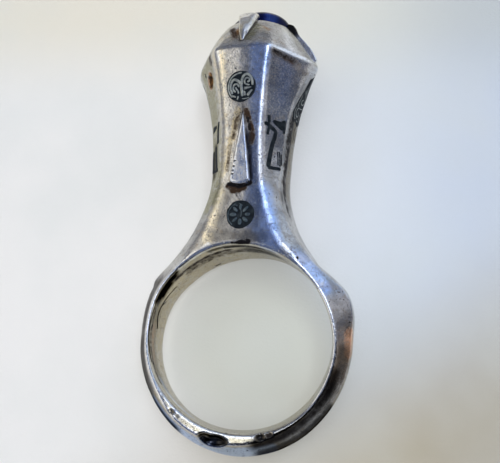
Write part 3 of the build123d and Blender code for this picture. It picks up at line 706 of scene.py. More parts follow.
def surface_of(field, low, high, cell):
    """Points and four-sided faces of a closed surface where a field is zero."""
    low, high = np.array(low, float), np.array(high, float)
    counts = np.ceil((high - low) / cell).astype(int) + 1
    axes = [low[i] + cell * np.arange(counts[i]) for i in range(3)]
    coarse = np.meshgrid(*[axis[COARSE_STEP // 2::COARSE_STEP] for axis in axes], indexing="ij")
    values = field(*coarse)
    for axis in range(3):
        picks = np.minimum(np.arange(counts[axis]) // COARSE_STEP, values.shape[axis] - 1)
        values = np.take(values, picks, axis)
    near = np.abs(values) < 1.6 * COARSE_STEP * cell
    x, y, z = (axis[picks] for axis, picks in zip(axes, np.nonzero(near)))
    values[near] = field(x, y, z)
    inside = values < 0
    corners = [(i, j, k) for i in (0, 1) for j in (0, 1) for k in (0, 1)]

    def corner(array, c):
        return array[tuple(slice(o, n - 1 + o) for o, n in zip(c, counts))]

    full = sum(corner(inside, c).astype(int) for c in corners)
    cells = np.argwhere((full > 0) & (full < 8))
    number = np.full(counts - 1, -1)
    number[tuple(cells.T)] = np.arange(len(cells))
    total, hits = np.zeros((len(cells), 3)), np.zeros(len(cells))
    for a in corners:
        for axis in range(3):
            if a[axis]:
                continue
            b = tuple(o + (n == axis) for n, o in enumerate(a))
            va = values[tuple((cells + a).T)]
            vb = values[tuple((cells + b).T)]
            cross = (va < 0) != (vb < 0)
            share = np.where(cross, va / np.where(cross, va - vb, 1), 0)
            place = np.array(a) + share[:, None] * (np.array(b) - a)
            total += place * cross[:, None]
            hits += cross
    points = low + cell * (cells + total / hits[:, None])
    faces = []
    for axis in range(3):
        one, two = (axis + 1) % 3, (axis + 2) % 3
        before = [slice(1, -1)] * 3
        after = [slice(1, -1)] * 3
        before[axis], after[axis] = slice(0, -1), slice(1, None)
        start, end = inside[tuple(before)], inside[tuple(after)]
        for out, mask in ((True, start & ~end), (False, ~start & end)):
            at = np.argwhere(mask) + [0 if n == axis else 1 for n in range(3)]
            e1, e2 = np.eye(3, dtype=int)[[one, two]]
            ring = [at - e1 - e2, at - e2, at, at - e1]
            ids = np.stack([number[tuple(q.T)] for q in ring], 1)
            faces.append(ids if out else ids[:, ::-1])
    return settle(field, points, reach=0.6 * cell), np.concatenate(faces)


def placed(name, data):
    """A new object in the scene."""
    obj = bpy.data.objects.new(name, data)
    bpy.context.scene.collection.objects.link(obj)
    return obj


def mesh_object(name, points, faces, finish, shades=None, field=None):
    """A mesh laid down in the frame from points of the standing ring, with its finish and shades.

    Its normals follow the field that it is the surface of, if one is given."""
    mesh = bpy.data.meshes.new(name)
    mesh.from_pydata(lay_down(points).tolist(), [], [list(map(int, f)) for f in faces])
    mesh.polygons.foreach_set("use_smooth", [True] * len(mesh.polygons))
    if field:
        normals = slope_of(field, points)
        normals /= np.maximum(np.linalg.norm(normals, axis=1, keepdims=True), 1e-9)
        turned = (lay_down(normals) - lay_down(np.zeros((1, 3)))) / MM
        mesh.normals_split_custom_set_from_vertices(turned.tolist())
    for key, values in (shades or {}).items():
        mesh.attributes.new(key, "FLOAT", "POINT").data.foreach_set("value", values.astype(np.float32))
    mesh.materials.append(finish)
    obj = placed(name, mesh)
    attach(obj, "root")
    return obj


# Points along each mark round the hoop
MARK_POINTS = 9


def mark_lines():
    """Every mark as its tone, a row of points on the standing ring, its width and its strength."""
    rows = []
    for mark in MARKS:
        rows.append((mark["tone"], np.array([mark["from"], mark["to"]]), mark["width"], mark["full"]))
    for mark in HOOP_MARKS:
        angles = np.radians(np.linspace(mark["from"], mark["to"], MARK_POINTS))
        z = mark["radius"] * np.sin(angles)
        x, y = twisted(mark["radius"] * np.cos(angles), mark["across"], z)
        rows.append((mark["tone"], np.stack([x, y, z], 1), mark["width"], mark["full"]))
    return rows


def distance_to_line(points, line):
    """How far points are from a row of straight runs."""
    nearest = np.inf
    for start, end in zip(line, line[1:]):
        run = end - start
        share = np.clip((points - start) @ run / (run @ run), 0, 1)
        nearest = np.minimum(nearest, np.linalg.norm(points - start - share[:, None] * run, axis=1))
    return nearest


def add_shade(shades, tone, share):
    """Brings a tone up to a share, and leaves it where it is stronger."""
    shades[tone] = np.maximum(shades[tone], share)


def silver_shades(field, points, others=()):
    """Wear on the edges, grime in the hollows and against other pieces, and the marks, painted light and
    shade among them.
    """
    step = 0.16
    bend = -6 * field(*points.T)
    for axis in range(3):
        for way in (-step, step):
            moved = points.copy()
            moved[:, axis] += way
            bend = bend + field(*moved.T)
    bend /= step * step
    shades = {"wear": smooth_step(bend, 0.5, 3.5), "grime": smooth_step(-bend, 0.5, 3.0)}
    for other in others:
        add_shade(shades, "grime", 1 - smooth_step(np.abs(other(*points.T)), 0.02, 0.30))
    for tone in TONES:
        shades[tone] = np.zeros(len(points))
    for tone, line, width, full in mark_lines():
        far = smooth_step(distance_to_line(points, line), 0.2 * width, 1.3 * width)
        add_shade(shades, tone, full * (1 - far))
    if others:
        u, _ = twisted(*points.T, -1)
        inside = 1 - smooth_step(np.hypot(u, points[:, 2]) - BORE_RADIUS, 0.15, 0.40)
        add_shade(shades, "ochre", 0.7 * inside)
    for pit in PITS:
        ball = np.linalg.norm((points - pit["at"]) / pit["half"], axis=1)
        add_shade(shades, pit["dirt"], 1 - smooth_step(ball, 1.0, 1.4))
        shades["wear"] *= 0.4 + 0.6 * smooth_step(ball, 1.1, 1.8)
    return shades


class Nodes:
    """A node tree and short ways of adding to it."""

    def __init__(self, tree):
        self.tree = tree

    def add(self, kind, inputs=None, **settings):
        made = self.tree.nodes.new(kind)
        for key, value in settings.items():
            setattr(made, key, value)
        for key, value in (inputs or {}).items():
            self.join(value, made.inputs[key])
        return made

    def join(self, value, socket):
        if isinstance(value, bpy.types.NodeSocket):
            self.tree.links.new(value, socket)
        else:
            socket.default_value = value

    def math(self, how, a, b=0.0):
        return self.add("ShaderNodeMath", {0: a, 1: b}, operation=how).outputs[0]

    plus = partialmethod(math, "ADD")
    minus = partialmethod(math, "SUBTRACT")
    times = partialmethod(math, "MULTIPLY")
    most = partialmethod(math, "MAXIMUM")
    least = partialmethod(math, "MINIMUM")

    def give(self, key, value):
        """Sets one of the material's own inputs."""
        self.join(value, self.tree.nodes["Principled BSDF"].inputs[key])

    def rise(self, value, low, high, start=0.0, end=1.0):
        """A soft rise from start to end as the value goes from low to high."""
        made = self.add("ShaderNodeMapRange", {0: value, 1: low, 2: high, 3: start, 4: end},
                        interpolation_type="SMOOTHSTEP")
        return made.outputs[0]

    def blend(self, share, a, b, how="MIX"):
        """Two colours mixed, with b's share in the mix."""
        made = self.add("ShaderNodeMix", {0: share, 6: a, 7: b}, data_type="RGBA", blend_type=how)
        return made.outputs[2]

    def places(self, stretch=(1, 1, 1), turn=(0, 0, 0)):
        """Places on the object in millimetres, stretched and turned."""
        where = self.add("ShaderNodeTexCoord").outputs["Object"]
        size = [s / MM for s in stretch]
        return self.add("ShaderNodeMapping", {"Vector": where, "Rotation": turn, "Scale": size}).outputs[0]

    def noise(self, where, scale, detail=3.0, rough=0.55):
        inputs = {"Vector": where, "Scale": scale, "Detail": detail, "Roughness": rough}
        return self.add("ShaderNodeTexNoise", inputs).outputs[0]

    def shade(self, name):
        return self.add("ShaderNodeAttribute", attribute_name=name).outputs["Fac"]

    def bump(self, height, distance, strength=1.0, normal=None):
        made = self.add("ShaderNodeBump", {"Height": height, "Distance": distance, "Strength": strength})
        if normal is not None:
            self.join(normal, made.inputs["Normal"])
        return made.outputs[0]


def new_material(name):
    """A plain material and its nodes."""
    made = bpy.data.materials.new(name)
    made.use_nodes = True
    return made, Nodes(made.node_tree)


# Depths of the finest relief, in metres
FAINT_RELIEF = 0.00002
RELIEF = 0.00003
STONE_RELIEF = 0.00004


# Colours of the silver's tones, painted highlights, shade and reflections among them
SILVER = {
    "clean": (0.74, 0.72, 0.69, 1), "dull": (0.40, 0.39, 0.38, 1), "warm": (0.42, 0.35, 0.27, 1),
    "cream": (0.86, 0.77, 0.60, 1), "blue": (0.52, 0.65, 0.93, 1), "olive": (0.36, 0.34, 0.23, 1),
    "ochre": (0.56, 0.48, 0.33, 1), "copper": (0.90, 0.62, 0.46, 1),
    "brown": (0.045, 0.028, 0.019, 1), "rust": (0.34, 0.17, 0.06, 1), "soot": (0.012, 0.011, 0.013, 1),
    "bare": (0.93, 0.93, 0.94, 1), "smoke": (0.024, 0.022, 0.022, 1),
}


def old_silver():
    """Cast silver with its tarnish, dirt, pits, scratches and rubbed edges, and the painted highlights,
    shade, shadows and reflections that the marks carry.
    """
    made, n = new_material("old_silver")
    where = n.places()
    broad, mid, fine = n.noise(where, 0.32, 3), n.noise(where, 1.5, 5, 0.62), n.noise(where, 6.5, 4, 0.65)
    color = n.blend(n.rise(broad, 0.40, 0.64), SILVER["clean"], SILVER["dull"])
    color = n.blend(n.rise(mid, 0.48, 0.68, 0, 0.6), color, SILVER["warm"])
    color = n.blend(n.rise(fine, 0.34, 0.66, 0.55, 0.0), color, SILVER["dull"])
    uneven = n.plus(n.times(n.minus(mid, 0.5), 2.6), n.times(n.minus(fine, 0.5), 2.2))

    def patch(tone, low=0.10, high=0.90, broken=1.0):
        """Where a mark lies, broken up by the noise and never off the mark."""
        there = n.plus(1.0, n.times(uneven, broken))
        return n.rise(n.times(n.shade(tone), there), low, high)

    # The painted highlight, the painted reflections and the greenish painted shade, with the ochre deposits
    for tone in ("cream", "ochre", "olive", "blue", "copper"):
        color = n.blend(patch(tone, broken=0.45 if tone == "blue" else 1.0), color, SILVER[tone])
    # Silver rubbed bright, and painted highlights
    bare = patch("bare")
    outside_highlight_and_shade = n.rise(n.most(bare, n.shade("smoke")), 0, 1, 1.0, 0.25)
    color = n.blend(bare, color, SILVER["bare"])
    # Even dark tarnish, and painted shade, shadow and dark reflection
    smoke = n.times(n.shade("smoke"), n.rise(mid, 0.3, 0.6, 0.95, 1.0))
    rust, brown, soot = patch("rust"), patch("brown", 0.15, 0.85), patch("soot", 0.25, 0.70)
    grain = n.noise(where, 8.0, 2, 0.5)
    specks = n.times(n.rise(grain, 0.61, 0.68, 0, 0.9), outside_highlight_and_shade)
    pits = n.times(n.rise(n.noise(where, 3.4, 2, 0.5), 0.685, 0.735), outside_highlight_and_shade)
    grime = n.times(n.shade("grime"), n.rise(mid, 0.35, 0.6, 0.45, 1.0))
    layers = ((rust, "rust"), (specks, "brown"), (grime, "brown"), (brown, "brown"), (smoke, "smoke"))
    for share, tone in layers:
        color = n.blend(share, color, SILVER[tone])
    rubbed = n.times(n.shade("wear"), n.rise(fine, 0.25, 0.55, 0.5, 1.0))
    rubbed = n.times(rubbed, n.rise(smoke, 0.2, 0.9, 1.0, 0.0))
    color = n.blend(rubbed, color, SILVER["bare"])
    color = n.blend(n.most(soot, pits), color, SILVER["soot"])
    n.give("Base Color", color)
    # The dark marks, painted shadows and shade among them, are less metallic and less shiny
    dirt = n.most(n.most(soot, pits), n.most(brown, specks))
    n.give("Metallic", n.rise(dirt, 0, 1, 1.0, 0.3))
    n.give("Specular IOR Level", n.rise(dirt, 0, 1, 0.5, 0.1))
    tint = n.blend(n.most(smoke, dirt), (0.85, 0.85, 0.85, 1), (0.04, 0.04, 0.04, 1))
    n.give("Specular Tint", tint)
    rough = n.rise(n.plus(n.times(mid, 0.6), n.times(fine, 0.4)), 0.35, 0.65, 0.11, 0.24)
    rough = n.most(rough, n.times(dirt, 0.5))
    n.give("Roughness", n.minus(rough, n.times(rubbed, 0.08)))
    scratches = n.noise(n.places((0.7, 0.7, 9), (0.3, 0.9, 0.4)), 1.0, 3)
    crossed = n.noise(n.places((9, 0.8, 0.8), (0.2, 0.4, 1.1)), 1.0, 3)
    lines = n.plus(n.rise(scratches, 0.60, 0.68), n.rise(crossed, 0.62, 0.68))
    worn = n.minus(n.plus(mid, n.times(fine, 0.35)), n.times(lines, 0.05))
    normal = n.bump(worn, RELIEF, outside_highlight_and_shade)
    normal = n.bump(n.minus(1.0, n.most(pits, specks)), RELIEF, 0.6, normal)
    n.give("Normal", normal)
    return made


def dull_silver(name, light, dark):
    """The dull greenish silver left standing in the inlays."""
    made, n = new_material(name)
    where = n.places()
    mid, fine = n.noise(where, 2.4, 4), n.noise(where, 9.0, 3)
    color = n.blend(n.rise(mid, 0.35, 0.65), light, dark)
    color = n.blend(n.rise(fine, 0.50, 0.70, 0, 0.8), color, (0.10, 0.11, 0.12, 1))
    n.give("Base Color", color)
    n.give("Metallic", 0.85)
    n.give("Roughness", n.rise(fine, 0.3, 0.7, 0.32, 0.5))
    n.give("Normal", n.bump(fine, FAINT_RELIEF))
    return made


def niello():
    """The black inlay: a dull blue-black, scuffed grey here and there."""
    made, n = new_material("niello")
    where = n.places()
    mid, fine = n.noise(where, 1.8, 5), n.noise(where, 9.0, 4)
    color = n.blend(n.rise(mid, 0.40, 0.70), (0.006, 0.009, 0.013, 1), (0.020, 0.026, 0.031, 1))
    color = n.blend(n.rise(fine, 0.60, 0.75, 0, 0.5), color, (0.09, 0.11, 0.11, 1))
    n.give("Base Color", color)
    n.give("Specular IOR Level", 0.08)
    n.give("Roughness", n.rise(fine, 0.3, 0.7, 0.40, 0.65))
    n.give("Normal", n.bump(fine, RELIEF))
    return made


def black_dirt():
    """What fills the cracks: dull black without any shine."""
    made, n = new_material("black_dirt")
    n.give("Base Color", (0.006, 0.005, 0.005, 1))
    n.give("Specular IOR Level", 0.0)
    n.give("Roughness", 1.0)
    return made


def blue_stone():
    """A deep blue polished stone with faint paler zones, and a painted shade at both of its ends."""
    made, n = new_material("blue_stone")
    zones = n.noise(n.places((1, 1, 0.25), (0.4, 0.2, 0.6)), 0.5, 3)
    silk = n.noise(n.places((6, 0.5, 0.5), (0, 0, 0.5)), 1.0, 2)
    color = n.blend(n.rise(zones, 0.35, 0.68), (0.004, 0.010, 0.085, 1), (0.012, 0.045, 0.24, 1))
    color = n.blend(n.rise(silk, 0.55, 0.75, 0, 0.25), color, (0.04, 0.10, 0.33, 1))
    # Painted shade: the stone darker and less shiny at both ends
    x, _, _ = n.add("ShaderNodeSeparateXYZ", {0: n.places()}).outputs
    ends = n.most(n.rise(x, 0.9, 2.3), n.rise(x, 0.1, 0.8, 1.0, 0.0))
    color = n.blend(ends, color, (0.002, 0.004, 0.030, 1))
    n.give("Base Color", color)
    n.give("Roughness", n.rise(silk, 0.3, 0.7, 0.08, 0.16))
    n.give("IOR", 1.4)
    n.give("Specular IOR Level", n.rise(ends, 0, 1, 0.25, 0.08))
    n.give("Normal", n.bump(zones, STONE_RELIEF))
    return made


FINISHES = {make.__name__: make() for make in (old_silver, niello, black_dirt, blue_stone)}
FINISHES["line_silver"] = dull_silver("line_silver", (0.50, 0.52, 0.48, 1), (0.28, 0.31, 0.31, 1))
FINISHES["faint_silver"] = dull_silver("faint_silver", (0.15, 0.19, 0.21, 1), (0.06, 0.09, 0.11, 1))


def group_inputs(name, sockets):
    """A Geometry Nodes tree with a geometry input, the named inputs and one output."""
    tree = bpy.data.node_groups.new(name, "GeometryNodeTree")
    tree.interface.new_socket("Geometry", in_out="INPUT", socket_type="NodeSocketGeometry")
    for label, kind in sockets:
        tree.interface.new_socket(label, in_out="INPUT", socket_type="NodeSocket" + kind)
    tree.interface.new_socket("Geometry", in_out="OUTPUT", socket_type="NodeSocketGeometry")
    n = Nodes(tree)
    return tree, n, n.add("NodeGroupInput").outputs


def close_tree(n, geometry, finish):
    """Realizes what a tree made, gives it its finish and ends the tree."""
    solid = n.add("GeometryNodeRealizeInstances", {0: geometry}).outputs[0]
    named = n.add("GeometryNodeSetMaterial", {"Geometry": solid, "Material": finish}).outputs[0]
    n.add("NodeGroupOutput", {0: named})


def laid_bar_tree():
    """Curves in a flat plane made into closed low bars with round ends, as wide as their radius."""
    tree, n, given = group_inputs("laid_bar", [
        ("Height", "Float"), ("Step", "Float"), ("Finish", "Material")])
    even = n.add("GeometryNodeResampleCurve", {"Curve": given["Geometry"], "Length": given["Step"]},
                 mode="LENGTH").outputs[0]
    along = n.add("GeometryNodeSplineParameter").outputs["Length"]
    total = n.add("GeometryNodeSplineLength").outputs["Length"]
    radius = n.add("GeometryNodeInputRadius").outputs[0]
    end = n.least(along, n.minus(total, along))
    reach = n.least(n.math("DIVIDE", end, n.least(radius, 0.12)), 1.0)
    gone = n.minus(1.0, reach)
    round_end = n.math("SQRT", n.minus(1.02, n.times(gone, gone)))
    shaped = n.add("GeometryNodeSetCurveRadius", {"Curve": even, "Radius": 1.0}).outputs[0]
    size = n.add("GeometryNodeCaptureAttribute", {0: even})
    size.capture_items.new("FLOAT", "Radius")
    n.join(n.times(radius, round_end), size.inputs[1])
    n.join(size.outputs[0], shaped.node.inputs["Curve"])
    ring = n.add("GeometryNodeCurvePrimitiveCircle", {"Resolution": 10, "Radius": 1.0}).outputs[0]
    bar = n.add("GeometryNodeCurveToMesh", {"Curve": shaped, "Profile Curve": ring, "Scale": size.outputs[1],
                                            "Fill Caps": True}).outputs[0]
    place = n.add("GeometryNodeInputPosition").outputs[0]
    x, y, z = n.add("ShaderNodeSeparateXYZ", {0: place}).outputs
    low = n.times(n.math("TANH", n.times(z, 12.0)), given["Height"])
    flat = n.add("ShaderNodeCombineXYZ", {0: x, 1: y, 2: low}).outputs[0]
    pressed = n.add("GeometryNodeSetPosition", {"Geometry": bar, "Position": flat}).outputs[0]
    close_tree(n, pressed, given["Finish"])
    return tree


def petal_ring_tree():
    """Petals set round a circle in a flat plane, each pointing out from its middle."""
    tree, n, given = group_inputs("petal_ring", [
        ("Count", "Int"), ("Reach", "Float"), ("Length", "Float"), ("Width", "Float"), ("Height", "Float"),
        ("Seed", "Int"), ("Finish", "Material")])
    around = {"Vertices": given["Count"], "Radius": given["Reach"]}
    circle = n.add("GeometryNodeMeshCircle", around).outputs[0]
    ball = n.add("GeometryNodeMeshUVSphere", {"Segments": 20, "Rings": 8, "Radius": 0.5}).outputs[0]
    sizes = {0: given["Length"], 1: given["Width"], 2: given["Height"]}
    size = n.add("ShaderNodeCombineXYZ", sizes).outputs[0]
    petal = n.add("GeometryNodeTransform", {"Geometry": ball, "Scale": size}).outputs[0]
    place = n.add("GeometryNodeInputPosition").outputs[0]
    turn = n.add("FunctionNodeAlignRotationToVector", {"Vector": place}, axis="X").outputs[0]
    vary = n.add("FunctionNodeRandomValue", {0: (0.75, 0.7, 1.0), 1: (1.1, 1.15, 1.0), 8: given["Seed"]},
                 data_type="FLOAT_VECTOR").outputs[0]
    petals = n.add("GeometryNodeInstanceOnPoints", {"Points": circle, "Instance": petal, "Rotation": turn,
                                                    "Scale": vary}).outputs[0]
    close_tree(n, petals, given["Finish"])
    return tree


LAID_BAR = laid_bar_tree()
PETAL_RING = petal_ring_tree()


def grown(source, tree, values):
    """Points and faces that a Geometry Nodes tree makes from an object's data."""
    obj = placed("flat_work", source)
    modifier = obj.modifiers.new("made", "NODES")
    modifier.node_group = tree
    for item in tree.interface.items_tree:
        if item.in_out == "INPUT" and item.name in values:
            modifier[item.identifier] = values[item.name]
    depsgraph = bpy.context.evaluated_depsgraph_get()
    mesh = bpy.data.meshes.new_from_object(obj.evaluated_get(depsgraph), depsgraph=depsgraph)
    points = np.zeros(len(mesh.vertices) * 3)
    mesh.vertices.foreach_get("co", points)
    faces = [list(face.vertices) for face in mesh.polygons]
    bpy.data.objects.remove(obj)
    return points.reshape(-1, 3), faces


def flat_bars(bars, height, size=1.0, middle=(0, 0)):
    """Bars along smooth lines in a flat plane, from a table of points and widths."""
    curve = bpy.data.curves.new("flat_bars", "CURVE")
    curve.dimensions = "3D"
    for bar in bars:
        spline = curve.splines.new("NURBS")
        spline.points.add(len(bar["along"]) - 1)
        shares = np.linspace(0, 1, len(bar["along"]))
        for point, (x, y), share in zip(spline.points, bar["along"], shares):
            point.co = (middle[0] + x * size, middle[1] + y * size, 0, 1)
            point.radius = (bar["start"] + (bar["end"] - bar["start"]) * share) * size / 2
        spline.order_u = 3
        spline.use_endpoint_u = True
        spline.resolution_u = 12
    return grown(curve, LAID_BAR, {"Height": height, "Step": 0.05})


def flat_petals(radius, middle, height):
    """The ring of petals of a lower roundel in a flat plane."""
    points, faces = grown(bpy.data.meshes.new("flat_petals"), PETAL_RING, {
        "Count": PETALS, "Reach": PETAL_REACH * radius, "Length": PETAL_LENGTH * radius,
        "Width": PETAL_WIDTH * radius, "Height": 2 * height, "Seed": 5})
    return points + [*middle, 0], faces


def flat_plate(outline, top, bottom, rings=10):
    """A closed thin plate in a flat plane whose outline is seen whole from its middle."""
    outline = np.array(outline, float)
    middle = outline.mean(0)
    count = len(outline)
    shares = np.linspace(0, 1, rings + 1)[1:]
    spread = np.concatenate([[middle]] + [middle + (outline - middle) * share for share in shares])
    above = np.column_stack([spread, np.full(len(spread), top)])
    below = np.column_stack([spread, np.full(len(spread), bottom)])
    faces = []
    for j in range(count):
        k = (j + 1) % count
        faces.append([0, 1 + j, 1 + k])
        for ring in range(rings - 1):
            a = 1 + ring * count
            faces.append([a + j, a + count + j, a + count + k, a + k])
    under = len(spread)
    faces += [[under + i for i in face[::-1]] for face in faces]
    last = 1 + (rings - 1) * count
    for j in range(count):
        k = (j + 1) % count
        faces.append([last + j, under + last + j, under + last + k, last + k])
    return np.concatenate([above, below]), faces


def finer(outline, pieces=8):
    """An outline with each side divided."""
    points = []
    for (a, b), (c, d) in zip(outline, outline[1:] + outline[:1]):
        points += [(a + (c - a) * i / pieces, b + (d - b) * i / pieces) for i in range(pieces)]
    return points


# The flats that carry an inlay, with the signs of x and y on the side where each lies
FLATS = {
    "front": (1, -1), "back": (-1, 1), "right_front": (1, -1), "left_front": (-1, -1),
    "right_back": (1, 1), "left_back": (-1, 1), "right": (1, 1), "left": (-1, -1), "bore": (1, 1),
}


def flat_places(flat, u, v):
    """Points near a flat and the way straight out of it, from distances across and up it."""
    sign_x, sign_y = FLATS[flat]
    none = np.zeros_like(u)
    if flat == "bore":
        angle = u / BORE_RADIUS
        x, z = BORE_RADIUS * np.cos(angle), BORE_RADIUS * np.sin(angle)
        px, py = twisted(x, v, z)
        ox, oy = twisted(-np.cos(angle), none, z)
        return np.stack([px, py, z], 1), np.stack([ox, oy, -np.sin(angle)], 1)
    edge, depth, width, side = [line(v) for line in TOWER_LINES]
    if flat in ("front", "back"):
        return np.stack([sign_x * u, sign_y * depth, v], 1), np.stack([none, none + sign_y, none], 1)
    if flat in ("right", "left"):
        return np.stack([sign_x * width, sign_y * u, v], 1), np.stack([none + sign_x, none, none], 1)
    run_x, run_y = width - edge, depth - side
    size = np.hypot(run_x, run_y)
    run_x, run_y = run_x / size, run_y / size
    place = np.stack([sign_x * (edge + run_x * u), sign_y * (depth - run_y * u), v], 1)
    return place, np.stack([sign_x * run_y, sign_y * run_x, none], 1)


def draped(flat, points):
    """Flat work laid over the ring's surface: x across, y up the flat, z out from it."""
    base, out = flat_places(flat, points[:, 0], points[:, 1])
    far, step = np.full(len(base), 0.3), 0.02
    for _ in range(6):
        here = ring_field(*(base + out * far[:, None]).T)
        there = ring_field(*(base + out * (far + step)[:, None]).T)
        far = far - np.clip(here / np.maximum((there - here) / step, 0.2), -0.6, 0.6)
    surface = base + out * far[:, None]
    normal = slope_of(ring_field, surface)
    normal /= np.linalg.norm(normal, axis=1, keepdims=True)
    return surface + normal * points[:, 2:]


def lay_inlay(name, flat, work, finish):
    """A piece of flat work draped on a flat as an object of its own."""
    points, faces = work
    if flat in ("left_front", "right_back"):
        faces = [face[::-1] for face in faces]
    obj = mesh_object(name, draped(flat, points), faces, FINISHES[finish])
    return obj


# Heights of the inlays over the silver, in millimetres
GROUND_TOP, GROUND_BOTTOM = 0.012, -0.15
BAR_HEIGHT = 0.045
STEM_HEIGHT = 0.03
STROKE_HEIGHT = 0.02
CRACK_HEIGHT = 0.01

# Middles of the round inlays: across the face, and over the bore's middle, in millimetres
UPPER_PLACE = (-0.09, 26.8)
LOWER_PLACE = (0.22, 12.68)


def roundel(where, level, radius, middle, scrolls):
    """A round inlay on the front or back face: its dark ground and its silver scrolls, with petals on the
    lower one.
    """
    angles = np.linspace(0, 2 * np.pi, 96, endpoint=False)
    wobble = radius * (1 + 0.012 * np.sin(3 * angles + 1) + 0.008 * np.sin(7 * angles))
    outline = np.stack([middle[0] + wobble * np.cos(angles), middle[1] + wobble * np.sin(angles)], 1)
    ground = lay_inlay(f"roundel_{where}_{level}", where, flat_plate(outline, GROUND_TOP, GROUND_BOTTOM),
                       "niello")
    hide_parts(f"niello_{where}_{level}")
    finish = "faint_silver" if level == "lower" else "line_silver"
    lay_inlay(f"scrolls_{where}_{level}", where, flat_bars(scrolls, BAR_HEIGHT, radius, middle),
              finish)
    if level == "lower":
        lay_inlay(f"petals_{where}_{level}", where, flat_petals(radius, middle, BAR_HEIGHT), finish)


def stem(corner):
    side, face = corner.split("_")
    rows = STEM if side == "right" else LEFT_STEM
    bars = lay_inlay(f"stem_{corner}", corner, flat_bars(rows, STEM_HEIGHT), "niello")
    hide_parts(f"niello_stem_{side}_{face}")


def side_band(side):
    plate = flat_plate(finer(BAND_OUTLINE), GROUND_TOP, GROUND_BOTTOM)
    panel = lay_inlay(f"band_{side}", side, plate, "niello")
    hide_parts(f"niello_band_{side}")
    lay_inlay(f"band_scrolls_{side}", side, flat_bars(BAND_SCROLLS, BAR_HEIGHT), "line_silver")
    lay_inlay(f"band_strokes_{side}", side, flat_bars(LOOSE_STROKES, STROKE_HEIGHT), "niello")


def inlays():
    for where in ("front", "back"):
        roundel(where, "upper", UPPER_ROUNDEL, UPPER_PLACE, UPPER_SCROLLS)
        roundel(where, "lower", LOWER_ROUNDEL, LOWER_PLACE, LOWER_SCROLLS)
        for side in ("right", "left"):
            stem(f"{side}_{where}")
    for side in ("right", "left"):
        side_band(side)
    cracks = []
    for crack in CRACKS:
        along = [(np.radians(angle) * BORE_RADIUS, across) for angle, across in crack["along"]]
        cracks.append(dict(crack, along=along))
    lay_inlay("cracks", "bore", flat_bars(cracks, CRACK_HEIGHT), "black_dirt")


def shade_spike(shades, points):
    """Cleaner silver with a painted highlight and a painted bluish reflection, painted shade where the spike
    meets the ring, and dark in its notches.
    """
    # Painted shade on the spike's sides where it meets the ring
    deep = 1 - smooth_step(np.abs(ring_field(*points.T)), 0.05, 0.40)
    shades["soot"] = deep * smooth_step(np.abs(points[:, 0] - SPIKE_SHIFT), 0.1, 0.5)
    for tone in ("brown", "cream", "smoke"):
        shades[tone] *= 0
    shades["wear"] *= 0.4
    # Cleaner silver with a painted highlight, and a painted bluish reflection, over the whole spike
    shades["bare"] += 0.65
    shades["blue"] += 0.85
    for up in SPIKE_NOTCHES:
        across = SPIKE_SHIFT - (SPIKE_LENGTH - up) * SPIKE_LEAN + 0.18
        near = np.hypot((points[:, 0] - across) / NOTCH_ACROSS, (points[:, 2] - (SPIKE_BASE + up)) / 0.09)
        add_shade(shades, "soot", 1 - smooth_step(near, 0.5, 1.2))
        shades["wear"] *= smooth_step(near, 1.0, 2.0)


def shade_claw(shades, points, front):
    """The front claw gets a painted warm highlight on its face and a painted highlight on its right side;
    the others are painted bright low down and painted dark on their front side near the top.
    """
    if front:
        low = 1 - smooth_step(points[:, 2], 33.4, 34.6)
        right = smooth_step(points[:, 0], -0.25, 0.15)
        # Painted highlight on the right side low down, and a painted warm highlight over the face
        shades["bare"] = right * low + 0.5 * (1 - low)
        shades["cream"] += 0.8
        shades["wear"] *= 0
    else:
        high = smooth_step(points[:, 2], 34.7, 35.4)
        # Painted shade on the front side near the top, and painted highlight below it
        shades["smoke"] = smooth_step(-points[:, 1], 0.2, 0.5) * high
        shades["bare"] = 0.6 * (1 - high)
        shades["wear"] *= 0.3


def silver_pieces():
    """The body, its four claws and its two spikes."""
    far = GIRDLE_WIDTH / 2 + 0.4
    claw_room = ((-far, -far, GIRDLE_HEIGHT), (far, far, RIM_HEIGHT + 2.0))
    parts = {}
    for claw in CLAWS:
        field = claw_field(claw["turn"], claw["rise"], claw["thick"], claw["soft"])
        parts["claw_" + claw["name"]] = field, claw_room
    for where, turn in (("front", 0), ("back", 180)):
        parts["spike_" + where] = spike_field(turn), SPIKE_ROOMS[where]
    for name, (field, room) in parts.items():
        points, faces = surface_of(field, *room, FINE_CELL)
        shades = silver_shades(field, points)
        if name.startswith("spike"):
            shade_spike(shades, points)
        else:
            shade_claw(shades, points, name == "claw_front")
        mesh_object(name, points, faces, FINISHES["old_silver"], shades, field)
    points, faces = surface_of(ring_field, *BODY_ROOM, CELL)
    shades = silver_shades(ring_field, points, [field for field, _ in parts.values()])
    body = mesh_object("silver_body", points, faces, FINISHES["old_silver"], shades, ring_field)
    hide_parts("ring_body")


def stone():
    far = STONE_RADIUS + 0.3
    box = ((-far, -far, RIM_HEIGHT - CUP_DEPTH - 0.2), (far, far, RIM_HEIGHT + STONE_DOME + 0.2))
    points, faces = surface_of(stone_field, *box, STONE_CELL)
    obj = mesh_object("blue_stone", points, faces, FINISHES["blue_stone"], field=stone_field)
    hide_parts("sapphire")


silver_pieces()
stone()
inlays()

# Camera
CAMERA_PLACE = (21.298, -65.965, -5.193)
CAMERA_YAW, CAMERA_PITCH, CAMERA_ROLL = np.radians((-17.789, 13.797, -3.194))
LENS_PIXELS = 640.57
PICTURE_WIDTH = 500


